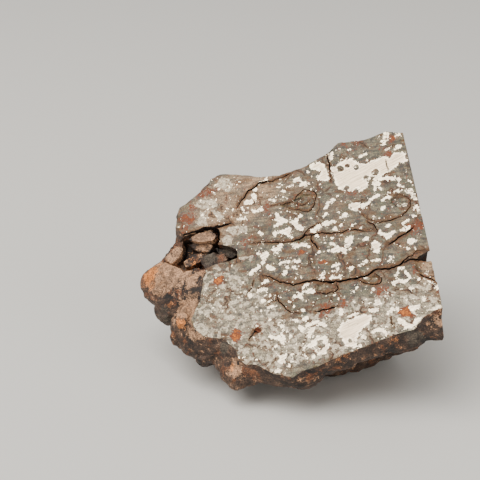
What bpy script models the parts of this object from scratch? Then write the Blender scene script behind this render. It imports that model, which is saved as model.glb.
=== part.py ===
"""A cut piece of a mesosiderite meteorite: a rough rusty chunk with one large polished face.

The stone is one solid. Its shape is given in the polished face's own frame: u runs to the right
across the face, v runs up it, and depth runs into the stone behind it. A loft through outlines at
rising depths gives the body, flat fractures trim it, and cellular lumps roughen all of it but the
polished face. Boulders and shards are joined on; the sawn side, the hollow at the left, the open
fissures and the small flat it rests on are cut. Lengths are millimetres until the finished mesh is
scaled to metres.
"""

import math

import bmesh
import bpy
import numpy as np
from mathutils import Matrix, Vector

METRES_PER_MM = 0.001

# How the stone lies: the face leans back from upright and is turned to the left.
FACE_LEAN = math.radians(45.0)
FACE_YAW = math.radians(20.8)
FACE_MIDDLE_HEIGHT = 27.6

# The sawn side meets the face along its straight right edge, and runs back under it.
SAW_EDGE_TOP = (12.8, 29.1)
SAW_EDGE_FOOT = (28.1, -6.2)
SAW_UNDERCUT = 0.42  # millimetres inward for each millimetre of depth

# The axis that the outlines are wrapped round: where it leaves the face, and its drift with depth.
AXIS_START = (-1.0, -1.0)
AXIS_DRIFT = (-0.08, 0.14)

# Outlines of the stone at rising depths behind the face, clockwise from the top corner.
RIM = (
    (12.8, 29.1), (15.8, 21.8), (18.4, 16.0), (20.9, 9.8), (22.6, 7.0), (23.0, 3.8), (24.5, 1.9),
    (25.3, -1.1), (28.1, -6.2), (26.6, -7.2), (24.9, -8.8), (23.8, -11.4), (19.6, -13.6),
    (15.5, -16.4), (10.4, -19.6), (7.2, -22.0), (4.5, -23.5), (2.6, -25.2), (-1.0, -25.2),
    (-5.2, -24.1), (-7.2, -24.3), (-8.9, -23.4), (-10.2, -21.8), (-12.9, -20.2), (-17.2, -20.6),
    (-19.9, -19.1), (-20.7, -17.8), (-20.1, -13.2), (-20.6, -8.0), (-20.4, -5.2), (-27.3, -0.3),
    (-29.6, 1.5), (-30.2, 5.7), (-28.1, 7.9), (-25.4, 11.3), (-25.2, 13.1), (-23.4, 14.5),
    (-19.9, 15.1), (-14.4, 15.2), (-10.6, 16.1), (-5.7, 19.0), (-2.1, 22.2), (-0.1, 25.1),
    (5.2, 26.5), (9.3, 29.0),
)
SHOULDER = (
    (12.6, 29.2), (24.0, 12.0), (29.6, -6.0), (29.6, -11.0), (27.3, -12.1), (21.8, -15.0),
    (14.3, -18.8), (9.9, -21.4), (4.5, -25.9), (0.6, -26.4), (-3.4, -26.2), (-6.4, -26.9),
    (-8.9, -28.4), (-11.3, -27.0), (-13.8, -24.9), (-15.0, -23.6), (-16.4, -24.4), (-21.2, -22.8),
    (-24.0, -20.6), (-24.6, -17.4), (-25.8, -15.4), (-29.8, -14.6), (-33.0, -11.0), (-33.4, -8.0),
    (-31.4, -4.6), (-29.6, -1.6), (-30.2, 1.5), (-30.9, 5.9), (-28.4, 9.0), (-26.0, 12.6),
    (-20.0, 15.2), (-11.0, 16.2), (-5.7, 19.2), (-0.2, 25.0), (5.2, 26.7), (9.3, 29.0),
)
LUMP = (
    (11.6, 29.2), (24.0, 12.0), (29.0, -7.0), (28.4, -9.0), (24.0, -11.4), (17.0, -15.4),
    (10.0, -19.4), (4.0, -23.6), (-3.0, -24.4), (-9.5, -26.0), (-13.6, -24.2), (-16.6, -23.6),
    (-22.0, -22.4), (-25.2, -20.4), (-26.4, -17.4), (-28.2, -16.6), (-31.9, -14.2),
    (-35.4, -10.4), (-36.2, -8.2), (-33.0, -3.6), (-30.6, 0.0), (-31.0, 6.0), (-26.4, 13.0),
    (-20.0, 15.4), (-11.0, 16.4), (-5.7, 19.4), (0.0, 25.0), (6.0, 27.6),
)
WAIST = (
    (8.8, 28.2), (21.0, 14.0), (27.5, -6.0), (26.0, -9.6), (16.0, -14.8), (6.0, -20.6),
    (-2.0, -21.4), (-9.0, -22.6), (-16.0, -21.6), (-22.6, -20.2), (-27.0, -16.4),
    (-31.6, -11.2), (-32.4, -6.0), (-30.8, 1.0), (-29.0, 8.0), (-22.0, 14.4), (-8.0, 18.4),
    (0.0, 24.6),
)
BELLY = (
    (5.4, 25.0), (15.0, 16.0), (23.0, -4.0), (21.4, -9.0), (12.0, -15.2), (5.0, -18.8),
    (-5.0, -18.8), (-17.0, -16.0), (-25.0, -13.0), (-28.6, -6.0), (-28.0, 3.0), (-21.0, 12.6),
    (-9.0, 17.8), (-1.0, 22.6),
)
HEEL = (
    (1.6, 25.4), (10.0, 18.0), (18.0, -1.0), (14.6, -8.0), (8.0, -12.0), (0.0, -13.2),
    (-11.0, -11.0), (-22.0, -6.6), (-26.0, 2.0), (-21.0, 13.6), (-9.6, 21.0),
)
BACK = (
    (-2.4, 22.6), (7.0, 16.0), (13.0, 3.6), (10.0, -2.6), (2.0, -5.0), (-8.0, -4.8),
    (-18.0, -0.6), (-20.4, 6.4), (-14.8, 16.4),
)
TIP = (
    (-4.0, 17.6), (4.0, 13.0), (8.6, 5.0), (3.6, 1.0), (-6.8, 0.4), (-13.2, 5.0), (-11.8, 13.0),
)
END = (
    (-4.0, 13.6), (1.0, 10.4), (3.4, 5.6), (-0.4, 3.0), (-6.6, 3.6), (-10.0, 6.4), (-9.0, 11.0),
)
SECTIONS = (
    (0.0, RIM), (3.5, SHOULDER), (7.0, LUMP), (13.0, WAIST), (20.0, BELLY), (27.0, HEEL),
    (33.0, BACK), (37.5, TIP), (39.5, END),
)

# Broken faces: flat fractures that end the rounded form, as an outward direction (u, v, minus
# depth) and a point that the fracture passes through.
FRACTURES = (
    ((-0.10, 0.70, -0.70), (0.0, 23.6, -20.0)),
    ((-0.80, 0.10, -0.60), (-28.6, -4.0, -16.5)),
    ((0.52, 0.62, -0.58), (9.0, 17.6, -21.0)),
    ((-0.50, 0.72, -0.48), (-24.0, 11.0, -18.0)),
    ((-0.42, -0.72, -0.55), (-19.0, -15.6, -17.0)),
    ((0.30, -0.80, -0.52), (17.2, -15.6, -16.0)),
)

# How finely the loft is drawn: rows by depth, and the widest turn between two columns.
ROW_DEPTHS = (
    0.0, 0.8, 1.8, 2.8, 3.8, 5.0, 6.2, 7.6, 9.2, 11.0, 13.0, 15.2, 17.4, 19.6, 21.8, 24.0, 26.2,
    28.4, 30.6, 32.6, 34.4, 36.0, 37.5, 38.8, 39.5,
)
WIDEST_TURN = math.radians(2.7)

# Lumps: cell size, height of the lumps and seed, coarse to fine. Cells are flattened plates
# because the stone is layered across the face.
LUMP_LAYERS = ((8.0, 1.7, 11), (4.0, 1.0, 23), (2.2, 0.4, 37))
LAYER_STRETCH = (0.6, 1.25, 0.75)
SMOOTH_RIM_DEPTH = 2.4
BALL_LUMP_SIZE = 2.6
BALL_LUMP_SEED = 41

# Working values: the side of the block that cuts the flat at the ground, a weld distance, and the
# least distance from the wrapping axis to the surface.
GROUND_BLOCK = 120.0
WELD = 0.001
LEAST_RADIUS = 1.5

# Open fissures on the face: points along each, and its widest gap.
FISSURE_DEPTH = 2.6
FISSURES = {
    "fissure_top": (0.75, ((-20.2, 8.3), (-19.0, 10.2), (-16.7, 12.2), (-13.0, 13.6), (-9.4, 16.0))),
    "fissure_middle": (
        0.6,
        ((-14.8, 0.4), (-9.2, 0.9), (-3.9, 1.9), (2.9, 3.9), (7.4, 6.1), (12.2, 6.9)),
    ),
    "fissure_low": (
        0.7,
        ((-10.0, -8.2), (-5.4, -9.1), (0.4, -7.4), (7.7, -5.8), (13.2, -3.2), (18.6, 0.7), (22.2, 4.2)),
    ),
    "fissure_right": (0.5, ((10.4, 15.4), (14.2, 15.6), (14.6, 12.6), (11.0, 9.4), (7.6, 8.6))),
}

# The hollow at the left edge of the face: its outline, from the foot of the upper block round to
# the lump, and how deep it goes.
HOLLOW_DEPTH = 4.6
HOLLOW = (
    (-29.4, -0.9), (-24.4, 1.3), (-21.0, 2.2), (-20.2, 0.7), (-19.8, -0.9), (-17.2, -0.8),
    (-15.3, -1.5), (-14.3, -3.0), (-17.2, -4.5), (-19.6, -5.8), (-23.0, -7.0), (-26.0, -7.4),
    (-29.0, -6.2), (-36.0, -4.0), (-36.0, -1.6),
)

# Boulders grown into the left side, and the shards that lie in the hollow: middle (u, v, minus
# depth), half sizes along the same axes, turn about the outward axis in degrees, and lump height.
BOULDER_FINENESS = 3
BOULDERS = {
    "left_lump": ((-29.4, -9.9, -6.2), (6.2, 4.6, 4.7), 14.0, 0.9),
    "left_ledge": ((-23.4, -17.2, -5.0), (2.8, 4.4, 3.8), -8.0, 0.8),
    "knob_dark": ((-17.0, -22.7, -5.6), (2.6, 1.9, 3.0), 10.0, 0.6),
    "knob_brown": ((-13.4, -21.6, -4.6), (2.4, 2.2, 3.0), 0.0, 0.6),
    "low_corner": ((-10.6, -25.6, -4.2), (2.9, 2.0, 2.8), -30.0, 0.6),
}
SHARD_FINENESS = 1
SHARDS = {
    "shard_wedge": ((-23.6, -0.6, -3.0), (3.1, 1.5, 2.6), 12.0, 1.0),
    "shard_ledge": ((-28.0, -3.9, -5.2), (3.4, 2.3, 3.0), -10.0, 1.2),
    "shard_low": ((-22.6, -5.3, -4.6), (3.9, 1.7, 2.8), 14.0, 1.0),
    "shard_inner": ((-17.4, -3.4, -5.0), (2.5, 1.3, 2.2), -8.0, 0.8),
}
EDGE_NOTCH = ((23.2, 3.5, -0.8), (1.9, 1.0, 2.0), 20.0, 0.5)


def face_matrix():
    """Turns face coordinates (u, v, minus depth) into the standing stone's own axes."""
    outward = Vector(
        (
            -math.cos(FACE_LEAN) * math.sin(FACE_YAW),
            -math.cos(FACE_LEAN) * math.cos(FACE_YAW),
            math.sin(FACE_LEAN),
        )
    )
    across = Vector((math.cos(FACE_YAW), -math.sin(FACE_YAW), 0.0))
    upward = outward.cross(across)
    turn = Matrix((across, upward, outward)).transposed()
    return Matrix.Translation((0.0, 0.0, FACE_MIDDLE_HEIGHT)) @ turn.to_4x4()


def axis_at(depth):
    """The point (u, v) of the wrapping axis at a depth."""
    return np.asarray(AXIS_START) + np.multiply.outer(np.asarray(depth), AXIS_DRIFT)


def polar_outline(outline, depth, steps=24):
    """Angles and radii of an outline round the axis, with points added along its straight sides."""
    corners = np.asarray(outline)
    share = np.linspace(0.0, 1.0, steps, endpoint=False)[:, None, None]
    points = (corners + share * (np.roll(corners, -1, axis=0) - corners)).reshape(-1, 2)
    offset = points - axis_at(depth)
    angles = np.arctan2(offset[:, 1], offset[:, 0])
    order = np.argsort(angles)
    return angles[order], np.hypot(offset[:, 0], offset[:, 1])[order]


def section_radii(angles):
    """Radius of every section at the given angles, one row for each section."""
    rows = []
    for depth, outline in SECTIONS:
        known_angles, known_radii = polar_outline(outline, depth)
        rows.append(np.interp(angles, known_angles, known_radii, period=2 * math.pi))
    return np.array(rows)


def blend_sections(radii, depth):
    """Radii at one depth, on a cubic through the sections on either side of it."""
    depths = np.array([section[0] for section in SECTIONS])
    slopes = np.gradient(radii, depths, axis=0)
    i = min(int(np.searchsorted(depths, depth, side="right")) - 1, len(depths) - 2)
    span = depths[i + 1] - depths[i]
    t = (depth - depths[i]) / span
    return (
        (2 * t**3 - 3 * t**2 + 1) * radii[i]
        + (t**3 - 2 * t**2 + t) * span * slopes[i]
        + (3 * t**2 - 2 * t**3) * radii[i + 1]
        + (t**3 - t**2) * span * slopes[i + 1]
    )


def cell_lumps(points, size, seed):
    """Lumps from 0 at the creases to 1 at the crowns: one dome for each cell of a jittered lattice."""
    table = 16
    jitter = np.random.default_rng(seed).random((table, table, table, 3))
    scaled = points / size
    home = np.floor(scaled).astype(int)
    nearest = np.full(len(points), np.inf)
    for step in np.ndindex(3, 3, 3):
        cell = home + np.array(step) - 1
        seeds = cell + jitter[tuple((cell % table).T)]
        nearest = np.minimum(nearest, ((scaled - seeds) ** 2).sum(axis=1))
    return 1.0 - np.minimum(nearest, 1.0)


def roughness(points):
    """How far the crust stands out at each point, in millimetres, about its mean level."""
    stretched = points * np.array(LAYER_STRETCH)
    height = np.zeros(len(points))
    for size, rise, seed in LUMP_LAYERS:
        height += rise * (cell_lumps(stretched, size, seed) - 0.6)
    return height


def column_angles():
    """Angles of the loft's columns: one at each corner of the rim, and more where they are far apart."""
    corners = np.asarray(RIM) - AXIS_START
    corner_angles = np.sort(np.arctan2(corners[:, 1], corners[:, 0]))
    gaps = np.diff(np.append(corner_angles, corner_angles[0] + 2 * math.pi))
    columns = []
    for start, gap in zip(corner_angles, gaps):
        count = max(1, math.ceil(gap / WIDEST_TURN))
        columns.extend(start + gap * np.arange(count) / count)
    return np.array(columns)


def fracture_radii(direction, depth):
    """Radius at which each direction from the axis meets the nearest fracture at a depth."""
    start = np.append(axis_at(depth), -depth)
    nearest = np.full(len(direction), np.inf)
    for outward, through in FRACTURES:
        slope = direction @ outward[:2]
        reach = np.dot(outward, np.asarray(through) - start)
        meets = slope > 1e-6
        nearest[meets] = np.minimum(nearest[meets], reach / slope[meets])
    return np.maximum(nearest, LEAST_RADIUS)


def lofted_rows():
    """Rings of points (u, v, minus depth) from the rim to the end at the back."""
    angles = column_angles()
    radii = section_radii(angles)
    direction = np.column_stack((np.cos(angles), np.sin(angles)))
    rings = []
    for depth in ROW_DEPTHS:
        radius = np.minimum(blend_sections(radii, depth), fracture_radii(direction, depth))
        smooth = radius[:, None] * direction + axis_at(depth)
        ring = np.column_stack((smooth, np.full(len(angles), -depth)))
        fade = min(1.0, depth / SMOOTH_RIM_DEPTH)
        ring[:, :2] += fade * roughness(ring)[:, None] * direction
        rings.append(ring)
    return rings


def new_object(name, mesh, collection):
    """An object of this mesh, linked to the collection."""
    thing = bpy.data.objects.new(name, mesh)
    collection.objects.link(thing)
    return thing


def lofted_body(name, collection):
    """The loft as a closed mesh, in face coordinates."""
    builder = bmesh.new()
    rings = [[builder.verts.new(point) for point in ring] for ring in lofted_rows()]
    for upper, lower in zip(rings, rings[1:]):
        for i, corner in enumerate(upper):
            after = (i + 1) % len(upper)
            builder.faces.new((corner, lower[i], lower[after], upper[after]))
    builder.faces.new(rings[0])
    builder.faces.new(reversed(rings[-1]))
    bmesh.ops.recalc_face_normals(builder, faces=builder.faces)
    mesh = bpy.data.meshes.new(name)
    builder.to_mesh(mesh)
    builder.free()
    return new_object(name, mesh, collection)


def block_cutter(name, centre, size, turn, collection):
    """A box of the given size, centred and turned, in face coordinates."""
    builder = bmesh.new()
    bmesh.ops.create_cube(builder, size=1.0)
    bmesh.ops.scale(builder, vec=size, verts=builder.verts)
    bmesh.ops.transform(
        builder, matrix=Matrix.Translation(centre) @ turn, verts=builder.verts
    )
    mesh = bpy.data.meshes.new(name)
    builder.to_mesh(mesh)
    builder.free()
    return new_object(name, mesh, collection)


def rough_ball(name, fineness, middle, half_sizes, turn, rise, collection):
    """A ball stretched and roughened, in face coordinates: angular at fineness 1, rounded at 3."""
    builder = bmesh.new()
    bmesh.ops.create_icosphere(builder, subdivisions=fineness, radius=1.0)
    points = np.array([vertex.co for vertex in builder.verts]) * half_sizes
    outward = points / np.linalg.norm(points, axis=1)[:, None]
    place = np.asarray(middle)
    lumps = cell_lumps(points + place, BALL_LUMP_SIZE, BALL_LUMP_SEED) - 0.5
    points += outward * (rise * lumps)[:, None]
    for vertex, point in zip(builder.verts, points):
        vertex.co = point
    matrix = Matrix.Translation(middle) @ Matrix.Rotation(math.radians(turn), 4, "Z")
    bmesh.ops.transform(builder, matrix=matrix, verts=builder.verts)
    mesh = bpy.data.meshes.new(name)
    builder.to_mesh(mesh)
    builder.free()
    return new_object(name, mesh, collection)


def flat_outline(name, outline, half_depth, collection):
    """A flat outline with thickness on both sides of the face's plane, as a closed mesh."""
    curve = bpy.data.curves.new(name, "CURVE")
    curve.dimensions = "2D"
    curve.fill_mode = "BOTH"
    curve.extrude = half_depth
    spline = curve.splines.new("POLY")
    spline.points.add(len(outline) - 1)
    for control, (u, v) in zip(spline.points, outline):
        control.co = (u, v, 0.0, 1.0)
    spline.use_cyclic_u = True
    drawn = new_object(name + "_outline", curve, collection)
    graph = bpy.context.evaluated_depsgraph_get()
    mesh = bpy.data.meshes.new_from_object(drawn.evaluated_get(graph))
    bpy.data.objects.remove(drawn)
    builder = bmesh.new()
    builder.from_mesh(mesh)
    bmesh.ops.remove_doubles(builder, verts=builder.verts, dist=WELD)
    bmesh.ops.recalc_face_normals(builder, faces=builder.faces)
    builder.to_mesh(mesh)
    builder.free()
    return new_object(name, mesh, collection)


def fissure_cutter(name, width, route, collection):
    """A blade along the route, widest in its middle and pointed at its ends."""
    points = np.asarray(route)
    along = np.gradient(points, axis=0)
    along /= np.linalg.norm(along, axis=1)[:, None]
    sideways = np.column_stack((-along[:, 1], along[:, 0]))
    share = np.linspace(0.0, 1.0, len(points))
    half = 0.5 * width * np.sqrt(np.clip(np.sin(math.pi * share), 0.02, 1.0))[:, None]
    outline = np.concatenate((points + sideways * half, (points - sideways * half)[::-1]))
    return flat_outline(name, outline, FISSURE_DEPTH, collection)


def join_or_cut(stone, tool, operation):
    """Adds a Boolean with this tool to the stone, and marks the tool as a helper."""
    modifier = stone.modifiers.new(tool.name, "BOOLEAN")
    modifier.object = tool
    modifier.operation = operation
    modifier.solver = "EXACT"
    tool.hide_render = True
    tool.display_type = "WIRE"


def saw_side(stone, helpers):
    """Cuts the flat sawn side along the face's straight right edge."""
    top = Vector((*SAW_EDGE_TOP, 0.0))
    foot = Vector((*SAW_EDGE_FOOT, 0.0))
    along = (foot - top).normalized()
    outward = Vector((-along.y, along.x, -SAW_UNDERCUT)).normalized()
    upward = along.cross(outward)
    turn = Matrix((along, outward, upward)).transposed().to_4x4()
    size = (120.0, 40.0, 120.0)
    centre = (top + foot) / 2 + outward * size[1] / 2
    join_or_cut(stone, block_cutter("saw_cut", centre, size, turn, helpers), "DIFFERENCE")


def grow_boulders(stone, boulders, fineness, helpers):
    """Joins each boulder or shard to the stone."""
    for name, (middle, half_sizes, turn, rise) in boulders.items():
        ball = rough_ball(name, fineness, middle, half_sizes, turn, rise, helpers)
        join_or_cut(stone, ball, "UNION")


def stand_on_flat(stone, helpers):
    """Turns the stone to how it lies, cuts the flat it rests on, and centres it over the origin."""
    standing = face_matrix()
    for thing in (stone, *helpers.objects):
        thing.data.transform(standing)
    below = (0.0, 0.0, -GROUND_BLOCK / 2)
    size = (GROUND_BLOCK, GROUND_BLOCK, GROUND_BLOCK)
    ground = block_cutter("ground_cut", below, size, Matrix.Identity(4), helpers)
    join_or_cut(stone, ground, "DIFFERENCE")
    graph = bpy.context.evaluated_depsgraph_get()
    stone.data = bpy.data.meshes.new_from_object(stone.evaluated_get(graph))
    stone.modifiers.clear()
    corners = np.array([vertex.co for vertex in stone.data.vertices])
    middle = (corners.min(axis=0) + corners.max(axis=0)) / 2
    to_origin = Matrix.Translation((-middle[0], -middle[1], 0.0))
    for thing in (stone, *helpers.objects):
        thing.data.transform(Matrix.Scale(METRES_PER_MM, 4) @ to_origin)


def stone_material():
    """Dark rusty crust."""
    material = bpy.data.materials.new("meteorite_stone")
    material.use_nodes = True
    shader = material.node_tree.nodes["Principled BSDF"]
    shader.inputs["Base Color"].default_value = (0.16, 0.11, 0.08, 1.0)
    shader.inputs["Roughness"].default_value = 0.6
    shader.inputs["Metallic"].default_value = 0.0
    return material


def main():
    """Builds the stone."""
    for thing in list(bpy.data.objects):
        bpy.data.objects.remove(thing)
    parts = bpy.data.collections.new("mesosiderite_meteorite")
    helpers = bpy.data.collections.new("cutters")
    for collection in (parts, helpers):
        bpy.context.scene.collection.children.link(collection)

    stone = lofted_body("meteorite", parts)
    stone.data.materials.append(stone_material())
    grow_boulders(stone, BOULDERS, BOULDER_FINENESS, helpers)
    hollow = flat_outline("hollow", HOLLOW, HOLLOW_DEPTH, helpers)
    join_or_cut(stone, hollow, "DIFFERENCE")
    grow_boulders(stone, SHARDS, SHARD_FINENESS, helpers)
    saw_side(stone, helpers)
    notch = rough_ball("edge_notch", SHARD_FINENESS, *EDGE_NOTCH, helpers)
    join_or_cut(stone, notch, "DIFFERENCE")
    for name, (width, route) in FISSURES.items():
        join_or_cut(stone, fissure_cutter(name, width, route, helpers), "DIFFERENCE")
    stand_on_flat(stone, helpers)


main()
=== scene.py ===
"""Looks for the mesosiderite meteorite: one dense mesh of the stone, and its finishes.

The stone is worked out in the polished face's own frame, in millimetres: u runs to the right
across the face, v runs up it and w stands out of it, so that -w is the depth behind the face.
The finished mesh is then placed on the solid that it stands for.
"""

import itertools
import logging
import math
from dataclasses import dataclass
from enum import Enum

import bpy
import numpy as np
from mathutils import Euler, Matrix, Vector
from numpy.typing import NDArray


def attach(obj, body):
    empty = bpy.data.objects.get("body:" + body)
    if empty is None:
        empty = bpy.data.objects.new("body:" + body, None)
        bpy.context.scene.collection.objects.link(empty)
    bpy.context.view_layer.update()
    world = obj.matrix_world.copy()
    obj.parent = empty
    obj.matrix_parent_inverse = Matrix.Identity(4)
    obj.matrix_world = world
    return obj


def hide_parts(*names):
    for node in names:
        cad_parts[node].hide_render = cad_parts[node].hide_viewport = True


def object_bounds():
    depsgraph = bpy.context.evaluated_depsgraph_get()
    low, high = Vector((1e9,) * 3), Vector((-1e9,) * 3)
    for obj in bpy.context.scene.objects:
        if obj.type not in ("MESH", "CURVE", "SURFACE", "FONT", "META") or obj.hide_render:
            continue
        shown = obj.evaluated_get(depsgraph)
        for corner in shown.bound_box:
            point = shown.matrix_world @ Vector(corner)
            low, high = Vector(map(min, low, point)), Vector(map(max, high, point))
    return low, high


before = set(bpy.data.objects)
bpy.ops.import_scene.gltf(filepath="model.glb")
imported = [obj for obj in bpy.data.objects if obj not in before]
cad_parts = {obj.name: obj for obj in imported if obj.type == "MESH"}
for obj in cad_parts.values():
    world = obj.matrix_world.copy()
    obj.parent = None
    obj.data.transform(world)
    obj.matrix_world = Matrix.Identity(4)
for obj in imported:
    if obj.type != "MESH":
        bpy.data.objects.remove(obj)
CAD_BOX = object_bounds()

Array = NDArray[np.float64]
Indices = NDArray[np.int64]
Pixels = tuple[tuple[float, float], ...]

log = logging.getLogger("meteorite")

NODE = "meteorite"
MM = 0.001  # metres in a millimetre

# How the stone lies: the face leans back from upright and is turned to the left.
FACE_LEAN = math.radians(45.0)
FACE_YAW = math.radians(20.8)
FACE_MIDDLE_HEIGHT = 27.6

# The sawn side meets the face along its straight right edge, and runs back under it.
SAW_EDGE_TOP = (12.8, 29.1)
SAW_EDGE_FOOT = (28.1, -6.2)
SAW_UNDERCUT = 0.42  # millimetres inward for each millimetre of depth
SAW_OVERCUT = 0.4  # how far the rim runs past the saw's cut, so that the cut makes the edge

# The axis that the outlines are wrapped round: where it leaves the face, and its drift with depth.
AXIS_START = (-1.0, -1.0)
AXIS_DRIFT = (-0.08, 0.14)

# Outlines of the stone at rising depths behind the face, clockwise from the top corner.
RIM = (
    (12.8, 29.1), (15.8, 21.8), (18.4, 16.0), (20.9, 9.8), (22.6, 7.0), (23.0, 3.8), (24.5, 1.9),
    (25.3, -1.1), (28.1, -6.2), (26.6, -7.2), (24.9, -8.8), (23.8, -11.4), (19.6, -13.6),
    (15.5, -16.4), (10.4, -19.6), (7.2, -22.0), (4.5, -23.5), (2.6, -25.2), (-1.0, -25.2),
    (-5.2, -24.1), (-7.2, -24.3), (-8.9, -23.4), (-10.2, -21.8), (-12.9, -20.2), (-17.2, -20.6),
    (-19.9, -19.1), (-20.7, -17.8), (-20.1, -13.2), (-20.6, -8.0), (-20.4, -5.2), (-27.3, -0.3),
    (-29.6, 1.5), (-30.2, 5.7), (-28.1, 7.9), (-25.4, 11.3), (-25.2, 13.1), (-23.4, 14.5),
    (-19.9, 15.1), (-14.4, 15.2), (-10.6, 16.1), (-5.7, 19.0), (-2.1, 22.2), (-0.1, 25.1),
    (5.2, 26.5), (9.3, 29.0),
)
SHOULDER = (
    (12.6, 29.2), (24.0, 12.0), (29.6, -6.0), (29.6, -11.0), (27.3, -12.1), (21.8, -15.0),
    (14.3, -18.8), (9.9, -21.4), (4.5, -25.9), (0.6, -26.4), (-3.4, -26.2), (-6.4, -26.9),
    (-8.9, -28.4), (-11.3, -27.0), (-13.8, -24.9), (-15.0, -23.6), (-16.4, -24.4), (-21.2, -22.8),
    (-24.0, -20.6), (-24.6, -17.4), (-25.8, -15.4), (-29.8, -14.6), (-33.0, -11.0), (-33.4, -8.0),
    (-31.4, -4.6), (-29.6, -1.6), (-30.2, 1.5), (-30.9, 5.9), (-28.4, 9.0), (-26.0, 12.6),
    (-20.0, 15.2), (-11.0, 16.2), (-5.7, 19.2), (-0.2, 25.0), (5.2, 26.7), (9.3, 29.0),
)
LUMP = (
    (11.6, 29.2), (24.0, 12.0), (29.0, -7.0), (28.4, -9.0), (23.6, -10.8), (16.4, -14.4),
    (9.6, -18.2), (3.8, -22.8), (-3.0, -24.4), (-9.5, -26.0), (-13.6, -24.2), (-16.6, -23.6),
    (-22.0, -22.4), (-25.2, -20.4), (-26.4, -17.4), (-28.2, -16.6), (-31.9, -14.2),
    (-35.4, -10.4), (-36.2, -8.2), (-33.0, -3.6), (-30.6, 0.0), (-31.0, 6.0), (-26.4, 13.0),
    (-20.0, 15.4), (-11.0, 16.4), (-5.7, 19.4), (0.0, 25.0), (6.0, 27.6),
)
WAIST = (
    (8.8, 28.2), (21.0, 14.0), (27.5, -6.0), (25.4, -8.8), (15.2, -13.2), (5.4, -18.6),
    (-2.2, -20.2), (-9.0, -22.6), (-16.0, -21.6), (-22.6, -20.2), (-27.0, -16.4),
    (-31.6, -11.2), (-32.4, -6.0), (-30.8, 1.0), (-29.0, 8.0), (-22.0, 14.4), (-8.0, 18.4),
    (0.0, 24.6),
)
BELLY = (
    (5.4, 25.0), (15.0, 16.0), (23.0, -4.0), (21.4, -9.0), (12.0, -15.2), (5.0, -18.8),
    (-5.0, -18.8), (-17.0, -16.0), (-25.0, -13.0), (-28.6, -6.0), (-28.0, 3.0), (-21.0, 12.6),
    (-9.0, 17.8), (-1.0, 22.6),
)
HEEL = (
    (1.6, 25.4), (10.0, 18.0), (18.0, -1.0), (14.6, -8.0), (8.0, -12.0), (0.0, -13.2),
    (-11.0, -11.0), (-22.0, -6.6), (-26.0, 2.0), (-21.0, 13.6), (-9.6, 21.0),
)
BACK = (
    (-2.4, 22.6), (7.0, 16.0), (13.0, 3.6), (10.0, -2.6), (2.0, -5.0), (-8.0, -4.8),
    (-18.0, -0.6), (-20.4, 6.4), (-14.8, 16.4),
)
TIP = (
    (-4.0, 17.6), (4.0, 13.0), (8.6, 5.0), (3.6, 1.0), (-6.8, 0.4), (-13.2, 5.0), (-11.8, 13.0),
)
END = (
    (-4.0, 13.6), (1.0, 10.4), (3.4, 5.6), (-0.4, 3.0), (-6.6, 3.6), (-10.0, 6.4), (-9.0, 11.0),
)
SECTIONS = (
    (0.0, RIM), (3.5, SHOULDER), (7.0, LUMP), (13.0, WAIST), (20.0, BELLY), (27.0, HEEL),
    (33.0, BACK), (37.5, TIP), (39.5, END),
)

# Broken faces: flat fractures that end the rounded form, as an outward direction and a point.
FRACTURES = (
    ((-0.10, 0.70, -0.70), (0.0, 23.6, -20.0)),
    ((-0.80, 0.10, -0.60), (-28.6, -4.0, -16.5)),
    ((0.52, 0.62, -0.58), (9.0, 17.6, -21.0)),
    ((-0.50, 0.72, -0.48), (-24.0, 11.0, -18.0)),
    ((-0.42, -0.72, -0.55), (-19.0, -15.6, -17.0)),
    ((0.30, -0.80, -0.52), (17.2, -15.6, -16.0)),
)
LEAST_RADIUS = 1.5

# Lumps of the crust: cell size, height and seed, coarse to fine. The cells are flattened plates
# because the stone is layered across the face.
LUMP_LAYERS = ((8.0, 1.7, 11), (4.0, 1.0, 23), (2.2, 0.4, 37))
LAYER_STRETCH = (0.6, 1.25, 0.75)
SMOOTH_RIM_DEPTH = 2.4

# The hollow at the left edge of the face.
HOLLOW_DEPTH = 4.6
HOLLOW_MIDDLE = (-23.0, -3.0)
HOLLOW = (
    (-29.4, -0.9), (-24.4, 1.3), (-21.0, 2.2), (-20.2, 0.7), (-19.8, -0.9), (-17.2, -0.8),
    (-15.3, -1.5), (-14.3, -3.0), (-17.2, -4.5), (-19.6, -5.8), (-23.0, -7.0), (-26.0, -7.4),
    (-29.0, -6.2), (-36.0, -4.0), (-36.0, -1.6),
)


class Finish(Enum):
    """The stone's finishes, in the order of its material slots."""

    POLISHED = 0
    SAWN = 1
    CRUST = 2
    FISSURE = 3


class Joining(Enum):
    """What a tool does to the stone: its value is the Boolean modifier's name for it."""

    GROWN = "UNION"
    CUT = "DIFFERENCE"


@dataclass(frozen=True)
class Crack:
    """A crack that is open on the face: its widest gap, its depth and its route.

    The gap and depth are in millimetres. The route was read off the photo, in its pixels.
    """

    gap: float
    depth: float
    route: Pixels


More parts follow.
